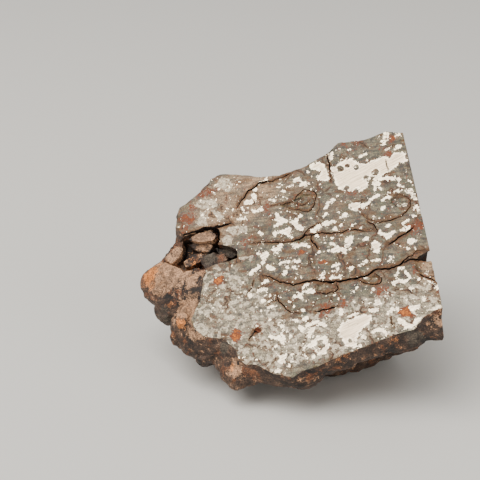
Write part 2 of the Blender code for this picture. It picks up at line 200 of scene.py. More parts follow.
CRACKS = {
    "top": Crack(0.36, 2.6, (
        (237, 208), (240, 200), (243, 198), (250, 190), (258, 184), (268, 182), (283, 177),
        (290, 173),
    )),
    "block_top": Crack(0.75, 3.4, (
        (179, 236), (192, 232), (200, 230), (213, 228), (222, 226), (231, 223),
    )),
    "block_left": Crack(0.85, 3.6, ((214, 227), (218, 235), (217, 243), (213, 251))),
    "middle": Crack(0.30, 2.6, (
        (250, 243), (262, 242.5), (270, 242.5), (281, 242), (294, 240), (302, 237), (311, 234),
        (319, 233), (331, 234), (344, 231.5), (352, 229.5), (362, 230.5), (374, 229.5),
    )),
    "middle_spur": Crack(0.34, 1.6, ((312, 235), (311, 240), (316, 245), (318, 249))),
    "middle_rise": Crack(0.20, 1.2, ((302, 237), (311, 228), (320, 222))),
    "right_short": Crack(0.40, 2.0, (
        (387, 244), (395, 240), (403, 235), (411, 230.5), (414, 226),
    )),
    "low": Crack(0.40, 2.6, (
        (262, 276), (270, 277), (281, 282), (292, 284), (302, 283), (313, 280.5), (330, 281.5),
        (346, 280.5), (357, 278), (368, 275), (373, 271), (378, 269), (389, 267.5), (400, 264),
        (406, 260), (416, 253), (429, 250),
    )),
    "low_return": Crack(0.45, 2.0, ((403, 263), (410, 259), (420, 259.5), (429, 256))),
    "low_loop": Crack(0.24, 1.4, ((374, 273), (380, 279), (376, 285), (366, 283), (357, 280))),
    "low_ring": Crack(0.26, 1.4, ((337, 282), (338, 289), (330, 292), (322, 293), (315, 293))),
    "lens": Crack(0.19, 1.4, (
        (270, 206), (280, 204), (290, 201), (297, 196), (303, 192), (310, 191), (316, 195),
        (315, 203), (309, 211), (300, 210), (289, 208.5),
    )),
    "lens_inner": Crack(0.22, 0.9, ((296, 203), (303, 205), (309, 200))),
    "loop_right": Crack(0.18, 1.6, (
        (394, 195), (403, 195.5), (409, 199), (410, 207), (402, 215), (392, 219.5), (380, 222),
        (370, 220), (362, 214),
    )),
    "loop_left": Crack(0.22, 1.2, ((367, 221), (374, 226), (378, 231))),
    "curl": Crack(0.22, 1.2, ((277, 293), (278, 300), (284, 307), (290, 312), (300, 313))),
    "curl_branch": Crack(0.20, 0.8, ((277, 299), (268, 305))),
    "low_rust": Crack(0.30, 1.0, ((315, 312), (322, 309), (330, 308), (338, 306))),
    "pit_line": Crack(0.45, 1.2, ((253, 333), (255, 330), (260, 331))),
    "pit_tail": Crack(0.20, 0.7, ((253, 333), (249, 340))),
    "hair_left": Crack(0.18, 0.6, ((246, 296), (252, 287), (254, 280))),
    "right_tail": Crack(0.32, 1.4, ((419, 275), (427, 277), (438, 282))),
    "low_corner": Crack(0.20, 0.7, ((390, 315), (391, 322), (395, 328))),
    "nodule_hair": Crack(0.14, 0.4, ((385.3, 158.5), (387, 166), (388.1, 173.2))),
    "nodule_side": Crack(0.24, 0.7, ((326, 150), (329, 160), (330, 170), (331, 182))),
}


@dataclass(frozen=True)
class Pluck:
    """A place broken out below the face's polish: its depth, and its outline in pixels."""

    depth: float
    outline: Pixels


PLUCKS = {
    "lens": Pluck(0.30, ((278, 206), (296, 199), (304, 194), (313, 194), (314, 203), (301, 209))),
    "right_edge": Pluck(
        0.55, ((414, 260), (428, 254), (437, 262), (438, 282), (424, 277), (417, 270))
    ),
    "low_loop": Pluck(0.35, ((364, 281), (375, 275), (380, 279), (376, 284))),
    "middle": Pluck(0.30, ((293, 243), (303, 238), (311, 236), (312, 241), (301, 243))),
    "low_pit": Pluck(0.70, ((251, 333), (255, 327), (262, 329), (259, 334))),
    "low_ring": Pluck(0.30, ((318, 283), (334, 282), (337, 287), (324, 292), (317, 290))),
    "loop_right": Pluck(0.25, ((392, 197), (404, 197), (408, 203), (400, 208), (391, 204))),
}

FACE_PIXEL = 0.22  # millimetres on the face in a pixel of the photo

# The metal grains that stand out in the photo, by where they lie: each one's width and its route,
# in the photo's pixels. A grain is as long as its route, with round ends.
Stroke = tuple[float | tuple[float, float], ...]
GRAINS: dict[str, tuple[Stroke, ...]] = {
    "above_the_middle": (
        (5, (381, 178.5), (398, 178.5)), (5, (376, 179), (377, 179.5)),
        (5.5, (375, 183.5), (378, 183.5)), (4, (375, 189), (381, 189)),
        (7, (329, 155), (330, 156.5)), (6, (296, 180.5), (299, 179.5)),
        (5.5, (302, 185), (308, 183)), (3, (288, 187), (295, 184.5)),
        (3.6, (281.5, 192), (283, 191.3)), (3.2, (269.5, 199.3), (275, 200.7)),
        (3.2, (259, 184), (263, 180)), (3.8, (253.8, 190), (255, 189)),
        (4.6, (253.5, 196), (256, 201)), (5, (245.5, 203), (251.5, 201)),
        (3.6, (241.5, 207.5), (246, 212)), (3.6, (253.5, 211), (261.5, 209)),
        (3.4, (238, 219), (245.5, 217.5)), (5.5, (292.5, 222.2), (301.5, 228.5)),
    ),
    "middle_left": (
        (4, (296, 219.5), (301, 215)), (3.4, (259.5, 232), (263.5, 234.5)),
        (3.4, (262, 242.5), (264, 242.3)), (6, (274.5, 249.5), (280.5, 246.5)),
        (5.6, (294, 245.5), (305, 243.5)), (5.4, (259, 254), (266, 254.5), (263.2, 262)),
        (4.4, (251.5, 273.5), (259.5, 266)), (4.4, (267.5, 266.5), (275, 269.5)),
        (3.6, (281.5, 263), (288, 261.5)), (3.8, (294, 262), (299.5, 261)),
        (3, (286.5, 266.5), (293, 268.5)), (3.8, (283, 275), (286, 272)),
        (3.4, (261, 284), (268, 281)), (3.6, (258, 291.5), (264.5, 288.5)),
    ),
    "below_the_middle": (
        (5, (249.5, 296.5), (250.5, 296)), (4, (262.5, 301.5), (263.5, 300.5)),
        (3.8, (267.5, 308), (275, 306)), (3, (303, 287.5), (310.5, 283)),
        (5, (309, 291), (313.5, 291.5)), (3.8, (298, 292), (303, 299)),
        (3, (303, 291), (299, 297)), (3.2, (292.5, 300.5), (295.5, 296.5)),
        (3.4, (303, 310.5), (304, 310)), (4.4, (303.5, 320), (309, 316.5)),
        (4.8, (303, 330), (310, 324), (318, 322.5), (325, 325)), (5.2, (309, 336), (312, 329)),
        (5, (310, 346), (318, 338), (326, 338), (327, 346)),
    ),
    "middle_right": (
        (5, (316, 351), (323, 352), (328, 345)), (3.4, (332, 266.5), (339, 264.5), (338, 272)),
        (3.8, (330, 277.5), (340, 277.5)), (3.6, (318.5, 278), (326, 277.5)),
        (4.4, (322.5, 275), (323.5, 274.5)), (3.6, (318, 252.4), (319, 252.2)),
        (4.4, (331, 244), (332, 243.8)), (4, (363.5, 240), (368, 237.5)),
        (3.6, (351, 225), (352, 225)), (3, (385.5, 227), (389.5, 225)),
        (3.4, (403, 223.5), (407.5, 220)), (4.8, (403, 229), (408, 227)),
        (4.2, (379.5, 231), (387, 236.5)), (4.4, (390, 235), (393.5, 232)),
        (5, (313, 231), (322, 225), (334, 221.5)), (4.4, (335, 229), (336, 229.4)),
        (4.6, (340.5, 218), (346, 215)),
    ),
    "under_the_nodule": (
        (3.4, (323.5, 216), (326.5, 213)), (4.2, (326, 207.5), (327.5, 203.5), (333, 200)),
        (4.4, (362, 207), (369, 202.5)), (3.8, (371, 199), (380, 194.5)),
        (3, (381, 200), (390, 196.5)), (3.6, (390.5, 193), (399, 190.5)),
        (2.8, (408.5, 180), (413, 183.5)), (3, (398, 184), (402.5, 186.5)),
        (3, (399, 206), (405.5, 204)), (4.2, (382.5, 208), (383.5, 207.6)),
        (4, (415, 207), (415.6, 206.8)), (3, (417.5, 208), (419.5, 213)),
        (4, (413, 215.8), (413.8, 215.6)), (4.8, (386, 132.5), (387.5, 138)),
        (3.4, (387, 139), (383, 145)), (2.8, (379.5, 136), (385, 139)),
    ),
    "top_corner": (
        (2.6, (380, 142), (385, 140)), (3.2, (393, 138), (401.5, 132.8)),
        (4, (395, 149), (400, 146.5)), (3.6, (387, 149.2), (388, 148.8)),
        (2.6, (359, 156.5), (368, 152.5)), (2.4, (349, 149), (353.5, 150.5)),
        (3.2, (402, 246), (408.5, 248.5)), (6.4, (410, 242), (411.5, 241)),
        (2.8, (357.5, 266), (367.5, 261)), (2.4, (371, 260.5), (380, 260)),
        (3.8, (351, 268.2), (352, 268)),
    ),
    "right_of_middle": (
        (3.4, (389, 261), (394, 257)), (2.6, (390, 256.5), (394, 262)),
        (3.8, (364, 277), (370, 278.5)), (3.6, (396, 276), (399, 269), (403, 268)),
        (4.4, (393.5, 283), (399, 282), (407, 281)), (2.8, (405, 272), (410, 277), (407, 281)),
        (5.2, (371.5, 290.5), (372.5, 290)), (2.8, (353.5, 291), (358, 288)),
        (2.8, (386.5, 290), (389, 294.5), (392, 296)), (3.6, (410, 288), (411, 288)),
        (6.2, (377.5, 300.5), (378, 303)), (4, (341, 309), (342, 314)),
        (3.6, (350, 316), (358, 313)), (4.4, (371, 311), (378, 309)),
    ),
    "lower_right": (
        (4.4, (388, 313.5), (393.5, 308.5)),
        (5.2, (400, 321), (406, 326), (413, 325), (419, 320)), (5, (411, 308), (418, 306.5)),
        (4.4, (413, 312), (416, 318)), (3.6, (397, 308), (400, 312)),
        (5, (424.5, 299.6), (425.5, 299.2)), (2.4, (424.5, 278), (433, 284)),
        (2.6, (436, 286), (438.5, 292)), (4.4, (428, 313), (434, 308), (441, 306.8)),
        (4.4, (373, 332), (377, 328.5), (387, 333.5)), (5.4, (364, 337), (365, 336.6)),
        (2.8, (303, 354.5), (309, 359)), (3.6, (313, 356), (314, 355.5)),
        (4, (279, 325), (284, 327)), (3, (291, 320), (297, 320)),
        (4.2, (300, 327), (300.6, 326.4)), (4.6, (272, 337), (281, 338)),
        (4.6, (282.5, 333), (283, 345)),
    ),
    "low_left": (
        (2.8, (288, 341), (291.5, 336)), (3.4, (296, 344), (297, 343.6)),
        (3, (272, 349), (277, 344.5)), (3.6, (272.5, 370), (279, 371.5)),
    ),
}
# Outlines of the metal nodules, in the photo's pixels.
NODULES: dict[str, Pixels] = {
    "giant": (
        (330.3, 167.6), (337.7, 164.8), (345.2, 158.3), (352.7, 158.3), (357.3, 162),
        (365.7, 163), (371.4, 159.2), (377.9, 159.2), (380.7, 155.5), (389.1, 156.9),
        (393.8, 151.7), (406, 152.2), (406.4, 157.3), (408.5, 162), (400.3, 163.9),
        (394.7, 168.6), (388.1, 173.2), (379.8, 177.9), (371.4, 177), (368.6, 180.7),
        (368.6, 187.2), (362, 191.9), (350.8, 192.4), (343.3, 191.9), (336.8, 187.2),
        (334, 179.8), (331.2, 174.2),
    ),
    "left_of_giant": (
        (308, 167), (313, 163), (318, 161.5), (325, 163), (325.5, 168), (328, 169), (329.3, 181),
        (317.5, 182), (317, 178), (320, 173), (318, 169.5), (313, 170),
    ),
    "middle_upper": (
        (273.6, 210.5), (279, 213.2), (282.6, 218.6), (291.6, 218.6), (288, 222.2), (283.5, 224),
        (279.9, 227.6), (272.7, 226.7), (278.1, 222.2), (275, 220.4), (275.4, 215.9),
    ),
    "middle_lower": (
        (272.7, 231.2), (279, 230.3), (285.3, 228.5), (289.8, 225.8), (292, 229.4), (293, 236.6),
        (291.6, 239.3), (287.1, 236.6), (284.4, 233.9), (279, 233.5), (275.4, 236.6),
        (272.7, 237.5),
    ),
    "branched": (
        (325, 251.5), (331, 249), (337, 245.5), (341, 247.5), (346, 245), (345.5, 238),
        (350, 234), (354.5, 235.5), (352, 243), (348, 247), (347, 253.5), (343, 255),
        (340, 251.5), (331, 253.5),
    ),
    "star": (
        (369.5, 243), (375, 241), (384, 242.5), (381, 247), (379, 251.5), (378.5, 256.5),
        (375, 251.5), (371, 248.5),
    ),
    "under_giant": (
        (348, 204), (353, 201.5), (360, 202), (361, 207), (358, 212.5), (353.5, 211), (349, 208),
    ),
    "right_side": (
        (405, 190), (412, 188), (414.5, 193), (417.5, 200), (414, 200.5), (409.5, 195.5),
    ),
    "second": (
        (337, 330), (341, 323), (350, 318), (358, 316), (365, 313), (372.5, 315), (372, 320),
        (366, 326), (360, 333), (357, 338), (357, 346), (349, 348), (345, 346), (342, 340),
        (338, 336),
    ),
    "low_sliver": (
        (276, 355), (288, 353), (286, 359), (287.5, 365), (281, 364.5), (277.5, 362),
        (279.5, 359),
    ),
}
# Drops of the grey matrix inside the nodules: place and width, in pixels.
NODULE_DROPS = (
    (340.6, 168.8, 4.0), (347.5, 165.8, 2.7), (356.4, 167.6, 3.0), (376, 172.3, 3.9),
    (365.8, 177.9, 3.0), (346.6, 187.7, 3.0), (356.9, 189.6, 2.6), (349.7, 340.5, 2.3),
    (317.6, 332, 4),
)
# Dull pale patches at the upper left, in pixels.
PALE_PATCHES: dict[str, Pixels] = {
    "block_top": (
        (225.5, 229.5), (229, 227), (247, 226.5), (247, 231), (240, 233), (235.5, 235.5),
        (230, 233),
    ),
    "block_low": ((222, 239), (228, 236), (233, 238), (231, 243), (224, 244)),
    "rim": (
        (215.5, 187), (218, 181), (222, 178.5), (229, 180), (232.5, 185), (229, 191.5),
        (224, 191), (221, 187),
    ),
    "upper": (
        (194.5, 206), (198, 201.5), (208, 199.5), (216, 200.5), (217, 205), (210, 208.5),
        (200, 208.5),
    ),
    "middle": (
        (200, 213), (208, 211.5), (206, 219), (207, 225), (198, 226), (196, 222), (200.5, 218),
    ),
    "right": ((211, 210), (216, 209.5), (221, 213.5), (224.5, 217), (220, 219.5), (215, 214.5)),
    "under_block": ((239.5, 258), (245, 256), (252, 256.5), (251, 259.5), (242, 260)),
    "low_left": ((194, 324), (200, 322), (208, 330), (214, 338), (205, 337.5), (198, 331)),
}
# Rust on the face: place in pixels, radius in millimetres and strength.
RUST_SPOTS = {
    "left": (218.0, 279.5, 1.45, 1.0),
    "low": (236.0, 334.5, 1.35, 1.0),
    "in_the_ring": (405.0, 312.0, 1.7, 1.0),
    "upper_pink": (202.0, 194.5, 1.9, 0.46),
    "upper_pink_right": (210.0, 191.5, 1.8, 0.50),
    "above_giant": (388.0, 152.5, 1.7, 0.44),
    "top_corner": (392.0, 138.0, 0.9, 0.7),
    "right_edge": (416.0, 226.0, 1.9, 0.5),
    "low_right": (379.0, 291.0, 1.7, 0.56),
    "middle": (300.0, 252.0, 0.9, 0.8),
    "middle_low": (322.0, 262.0, 0.8, 0.75),
    "right": (413.0, 272.0, 0.9, 0.8),
    "under_giant": (353.0, 195.0, 1.9, 0.36),
    "block": (245.0, 240.0, 1.1, 0.55),
    "low_middle": (327.0, 309.0, 1.9, 0.52),
    "low_middle_right": (344.0, 302.5, 1.5, 0.46),
    "left_rim": (187.0, 219.0, 2.2, 0.58),
    "left_rim_low": (184.0, 229.0, 1.5, 0.6),
    "left_rim_high": (192.0, 207.0, 1.3, 0.45),
    "top_rim": (345.0, 144.5, 1.3, 0.42),
    "top_rim_right": (356.0, 141.5, 1.3, 0.42),
    "lens_left": (267.0, 208.0, 1.5, 0.45),
    "low_pit": (258.0, 329.0, 1.9, 0.34),
}
# Regions of the face with a tint of their own: each follows a line (u, v) and fades to its width.
Band = tuple[tuple[float, float], tuple[float, float], float]
# The lower face's paler band: partly the matrix's own speckled tone, partly painted sheen.
HAZE_AND_SHEEN_BANDS: tuple[Band, ...] = (
    ((-16.5, -11.5), (-3.0, -20.0), 8.0), ((2.0, -18.0), (24.0, -6.5), 6.0),
)
BLUSH_BANDS: tuple[Band, ...] = (
    ((-21.5, 6.0), (-15.0, 13.0), 8.5), ((23.4, 2.0), (25.8, -2.4), 3.2),
)


def face_axes() -> Array:
    """The face's directions, as its lean and its turn give them.

    Returns:
        Its u, v and w as rows, in the standing stone's own axes.
    """
    outward = np.array((
        -math.cos(FACE_LEAN) * math.sin(FACE_YAW),
        -math.cos(FACE_LEAN) * math.cos(FACE_YAW),
        math.sin(FACE_LEAN),
    ))
    across = np.array((math.cos(FACE_YAW), -math.sin(FACE_YAW), 0.0))
    return np.array((across, np.cross(outward, across), outward))


def read_vectors(mesh: bpy.types.Mesh, name: str) -> Array:
    """Reads a vector of each of a mesh's points.

    Args:
        mesh: The mesh.
        name: What is read: co or normal.

    Returns:
        One row for each point.
    """
    flat = np.empty(3 * len(mesh.vertices))
    mesh.vertices.foreach_get(name, flat)
    return flat.reshape(-1, 3)


@dataclass(frozen=True)
class Placement:
    """Where the face's frame lies in the model: its middle in millimetres, its axes as rows."""

    middle: Array
    axes: Array

    @classmethod
    def on_node(cls, node: bpy.types.Object) -> "Placement":
        """Lays the face's top corner on the solid's highest point.

        Args:
            node: The CAD node that the stone stands for.

        Returns:
            The placement.
        """
        axes = face_axes()
        points = read_vectors(node.data, "co") / MM
        summit = points[points[:, 2].argmax()]
        middle = summit - np.array((*SAW_EDGE_TOP, 0.0)) @ axes
        middle[2] = FACE_MIDDLE_HEIGHT
        return cls(middle, axes)

    def to_model(self, points: Array) -> Array:
        """Face coordinates as the model's, both in millimetres."""
        return self.middle + points @ self.axes

    def to_face(self, points: Array) -> Array:
        """The model's coordinates as face coordinates, both in millimetres."""
        return (points - self.middle) @ self.axes.T


@dataclass(frozen=True)
class PhotoCamera:
    """The camera at the photo's viewing angle: its place from the face's middle, and its lens."""

    offset: tuple[float, float, float] = (-14.0, -217.15, 102.26)
    pitch: float = math.radians(24.5)  # downward
    lens: float = 90.0
    sensor: float = 36.0
    image_size: float = 480.0

    def face_points(self, pixels: Pixels) -> Array:
        """Where the photo's pixels fall on the polished face.

        A pixel's ray leaves the camera along forward + right x + up y, and meets the plane w = 0.

        Args:
            pixels: Points in the photo, x to the right and y down.

        Returns:
            The points (u, v) in millimetres, one row each.
        """
        focal = self.image_size * self.lens / self.sensor
        shift = (np.asarray(pixels, float) - self.image_size / 2) / focal
        forward = np.array((0.0, math.cos(self.pitch), -math.sin(self.pitch)))
        upward = np.array((0.0, math.sin(self.pitch), math.cos(self.pitch)))
        rays = forward + shift[:, :1] * np.array((1.0, 0.0, 0.0)) - shift[:, 1:] * upward
        axes = face_axes()
        start = np.asarray(self.offset)
        reach = -(start @ axes[2]) / (rays @ axes[2])
        return (start + reach[:, None] * rays) @ axes[:2].T

    def sink(self, depth: float) -> Array:
        """How far a point's place on the face moves when it sinks, for it to stay on its pixel."""
        view = face_axes() @ -np.asarray(self.offset)
        return view[:2] * depth / -view[2]

    def build(self, placement: Placement) -> bpy.types.Object:
        """Adds the camera to the scene.

        Args:
            placement: Where the stone's face lies.

        Returns:
            The camera.
        """
        data = bpy.data.cameras.new("photo_camera")
        data.lens = self.lens
        data.sensor_width = self.sensor
        data.clip_start = 0.01
        camera = bpy.data.objects.new("photo_camera", data)
        camera.location = Vector((placement.middle + self.offset) * MM)
        camera.rotation_euler = Euler((math.pi / 2 - self.pitch, 0.0, 0.0))
        bpy.context.scene.collection.objects.link(camera)
        bpy.context.scene.camera = camera
        return camera


def smooth_noise(points: Array, size: float, seed: int) -> Array:
    """Soft noise: random values at a lattice's corners, blended between them by a smooth step.

    Args:
        points: Where to read it, one row each.
        size: The lattice's spacing in millimetres.
        seed: Picks the random values.

    Returns:
        Values from -1 to 1.
    """
    table = 32
    values = np.random.default_rng(seed).uniform(-1.0, 1.0, (table, table, table))
    scaled = points / size
    home = np.floor(scaled).astype(int)
    share = scaled - home
    share = share * share * (3.0 - 2.0 * share)
    total = np.zeros(len(points))
    for corner in np.ndindex(2, 2, 2):
        weight = np.where(corner, share, 1.0 - share).prod(axis=1)
        total += weight * values[tuple(((home + corner) % table).T)]
    return total


def cell_lumps(points: Array, size: float, seed: int) -> Array:
    """Domes, one for each cell of a jittered lattice: one less the squared distance to its middle.

    Args:
        points: Where to read them, one row each.
        size: The lattice's spacing in millimetres.
        seed: Picks the jitter.

    Returns:
        Values from 0 at the creases to 1 at the crowns.
    """
    table = 16
    jitter = np.random.default_rng(seed).random((table, table, table, 3))
    scaled = points / size
    home = np.floor(scaled).astype(int)
    nearest = np.full(len(points), np.inf)
    for step in np.ndindex(3, 3, 3):
        cell = home + np.array(step) - 1
        seeds = cell + jitter[tuple((cell % table).T)]
        nearest = np.minimum(nearest, ((scaled - seeds) ** 2).sum(axis=1))
    return 1.0 - np.minimum(nearest, 1.0)


def curve_through(points: Array, spacing: float) -> Array:
    """A smooth curve through points: the Catmull-Rom cubic between each two, read at even steps.

    Args:
        points: The points, one row each.
        spacing: About how far apart the curve is read, in the points' own unit.

    Returns:
        Points along the curve, with both ends.
    """
    padded = np.vstack((2 * points[0] - points[1], points, 2 * points[-1] - points[-2]))
    length = np.linalg.norm(np.diff(points, axis=0), axis=1).sum()
    at = np.linspace(0.0, len(points) - 1.0, max(5, int(length / spacing) + 1))
    span = np.minimum(at.astype(int), len(points) - 2)
    t = (at - span)[:, None]
    before, start, end, after = (padded[span + k] for k in range(4))
    return 0.5 * (
        2 * start
        + (end - before) * t
        + (2 * before - 5 * start + 4 * end - after) * t**2
        + (3 * start - before - 3 * end + after) * t**3
    )


def outline_distance(points: Array, outline: Array) -> Array:
    """Signed distance to a closed outline: the nearest of its sides, below zero inside it.

    Args:
        points: Points (u, v), one row each.
        outline: The outline's corners, in order.

    Returns:
        The distances, in millimetres.
    """
    nearest = np.full(len(points), np.inf)
    inside = np.zeros(len(points), bool)
    for start, end in zip(outline, np.roll(outline, -1, axis=0)):
        side = end - start
        offset = points - start
        share = np.clip(offset @ side / (side @ side), 0.0, 1.0)
        nearest = np.minimum(nearest, np.hypot(*(offset - share[:, None] * side).T))
        spans = (start[1] > points[:, 1]) != (end[1] > points[:, 1])
        rise = side[1] if side[1] else 1e-9
        inside ^= spans & (points[:, 0] < start[0] + offset[:, 1] * side[0] / rise)
    return np.where(inside, -nearest, nearest)


def route_distance(points: Array, route: Array) -> Array:
    """Distance to an open route: the nearest of its sides.

    Args:
        points: Points (u, v), one row each.
        route: The route's points, in order.

    Returns:
        The distances, in millimetres.
    """
    nearest = np.full(len(points), np.inf)
    for start, end in zip(route, route[1:]):
        side = end - start
        offset = points - start
        share = np.clip(offset @ side / max(side @ side, 1e-9), 0.0, 1.0)
        nearest = np.minimum(nearest, np.hypot(*(offset - share[:, None] * side).T))
    return nearest


@dataclass
class Shell:
    """A closed mesh in face coordinates: points, and patches of faces with one finish each."""

    points: Array
    patches: list[tuple[Indices, Finish]]

    def mesh(self, name: str, materials: list[bpy.types.Material]) -> bpy.types.Mesh:
        """Makes the Blender mesh, with every finish's slot on it.

        Args:
            name: The mesh's name.
            materials: One material for each finish.

        Returns:
            The mesh, still in face coordinates.
        """
        faces = [face for corners, _ in self.patches for face in corners.tolist()]
        slots = np.concatenate([np.full(len(c), f.value, np.int32) for c, f in self.patches])
        mesh = bpy.data.meshes.new(name)
        mesh.from_pydata(self.points.tolist(), [], faces)
        for material in materials:
            mesh.materials.append(material)
        mesh.polygons.foreach_set("material_index", slots)
        return mesh


def ring_quads(rows: int, columns: int, first: int = 0) -> Indices:
    """Quads between successive closed rings of points, which face away from the rings' axis.

    Args:
        rows: How many rings there are.
        columns: How many points each ring has.
        first: The number of the first ring's first point.

    Returns:
        Four corners a row.
    """
    row, column = np.mgrid[: rows - 1, :columns]
    after = (column + 1) % columns
    start, below = first + row * columns, first + (row + 1) * columns
    corners = (start + column, below + column, below + after, start + after)
    return np.stack(corners, axis=-1).reshape(-1, 4)


def closed_rings(rings: Array, start: Array, end: Array, finish: Finish) -> Shell:
    """A closed surface through rings of points, drawn together to a point before and after them.

    Args:
        rings: The rings, as (ring, point, coordinate), anticlockwise seen along the way they go.
        start: The point that closes the first ring.
        end: The point that closes the last one.
        finish: The surface's finish.

    Returns:
        The closed mesh.
    """
    rows, columns = rings.shape[:2]
    column = np.arange(columns)
    after = (column + 1) % columns
    last = (rows - 1) * columns
    start_tip, end_tip = (np.full(columns, rows * columns + k) for k in range(2))
    start_fan = np.stack((column, after, start_tip), axis=-1)
    end_fan = np.stack((last + column, end_tip, last + after), axis=-1)
    points = np.vstack((rings.reshape(-1, 3), start, end))
    patches = [(ring_quads(rows, columns), finish), (start_fan, finish), (end_fan, finish)]
    return Shell(points, patches)


def block_shell(middle: Array, lengths: Array, axes: Array, finish: Finish) -> Shell:
    """A block: each corner is the middle plus or minus half of each length along its axis.

    Args:
        middle: The block's middle.
        lengths: Its three lengths.
        axes: Its three directions as rows, right-handed.
        finish: The finish that a cut with it leaves.

    Returns:
        The closed mesh.
    """
    signs = np.array(list(np.ndindex(2, 2, 2))) - 0.5
    quads = np.array(
        ((0, 1, 3, 2), (4, 6, 7, 5), (0, 4, 5, 1), (2, 3, 7, 6), (0, 2, 6, 4), (1, 5, 7, 3))
    )
    return Shell(middle + signs * lengths @ axes, [(quads, finish)])


def axis_at(depth: Array) -> Array:
    """The point (u, v) of the wrapping axis at each depth."""
    return np.asarray(AXIS_START) + np.multiply.outer(np.asarray(depth), AXIS_DRIFT)


def outline_radii(outline: Pixels, middle: Array, angles: Array) -> Array:
    """How far an outline is from a point inside it, at each angle.

    Args:
        outline: The outline's corners, in either order.
        middle: The point (u, v).
        angles: The angles, in radians.

    Returns:
        The radii, in millimetres.
    """
    corners = np.asarray(outline)
    share = np.linspace(0.0, 1.0, 24, endpoint=False)[:, None, None]
    points = (corners + share * (np.roll(corners, -1, axis=0) - corners)).reshape(-1, 2)
    offset = points - middle
    known = np.arctan2(offset[:, 1], offset[:, 0])
    return np.interp(angles, known, np.hypot(*offset.T), period=2 * math.pi)


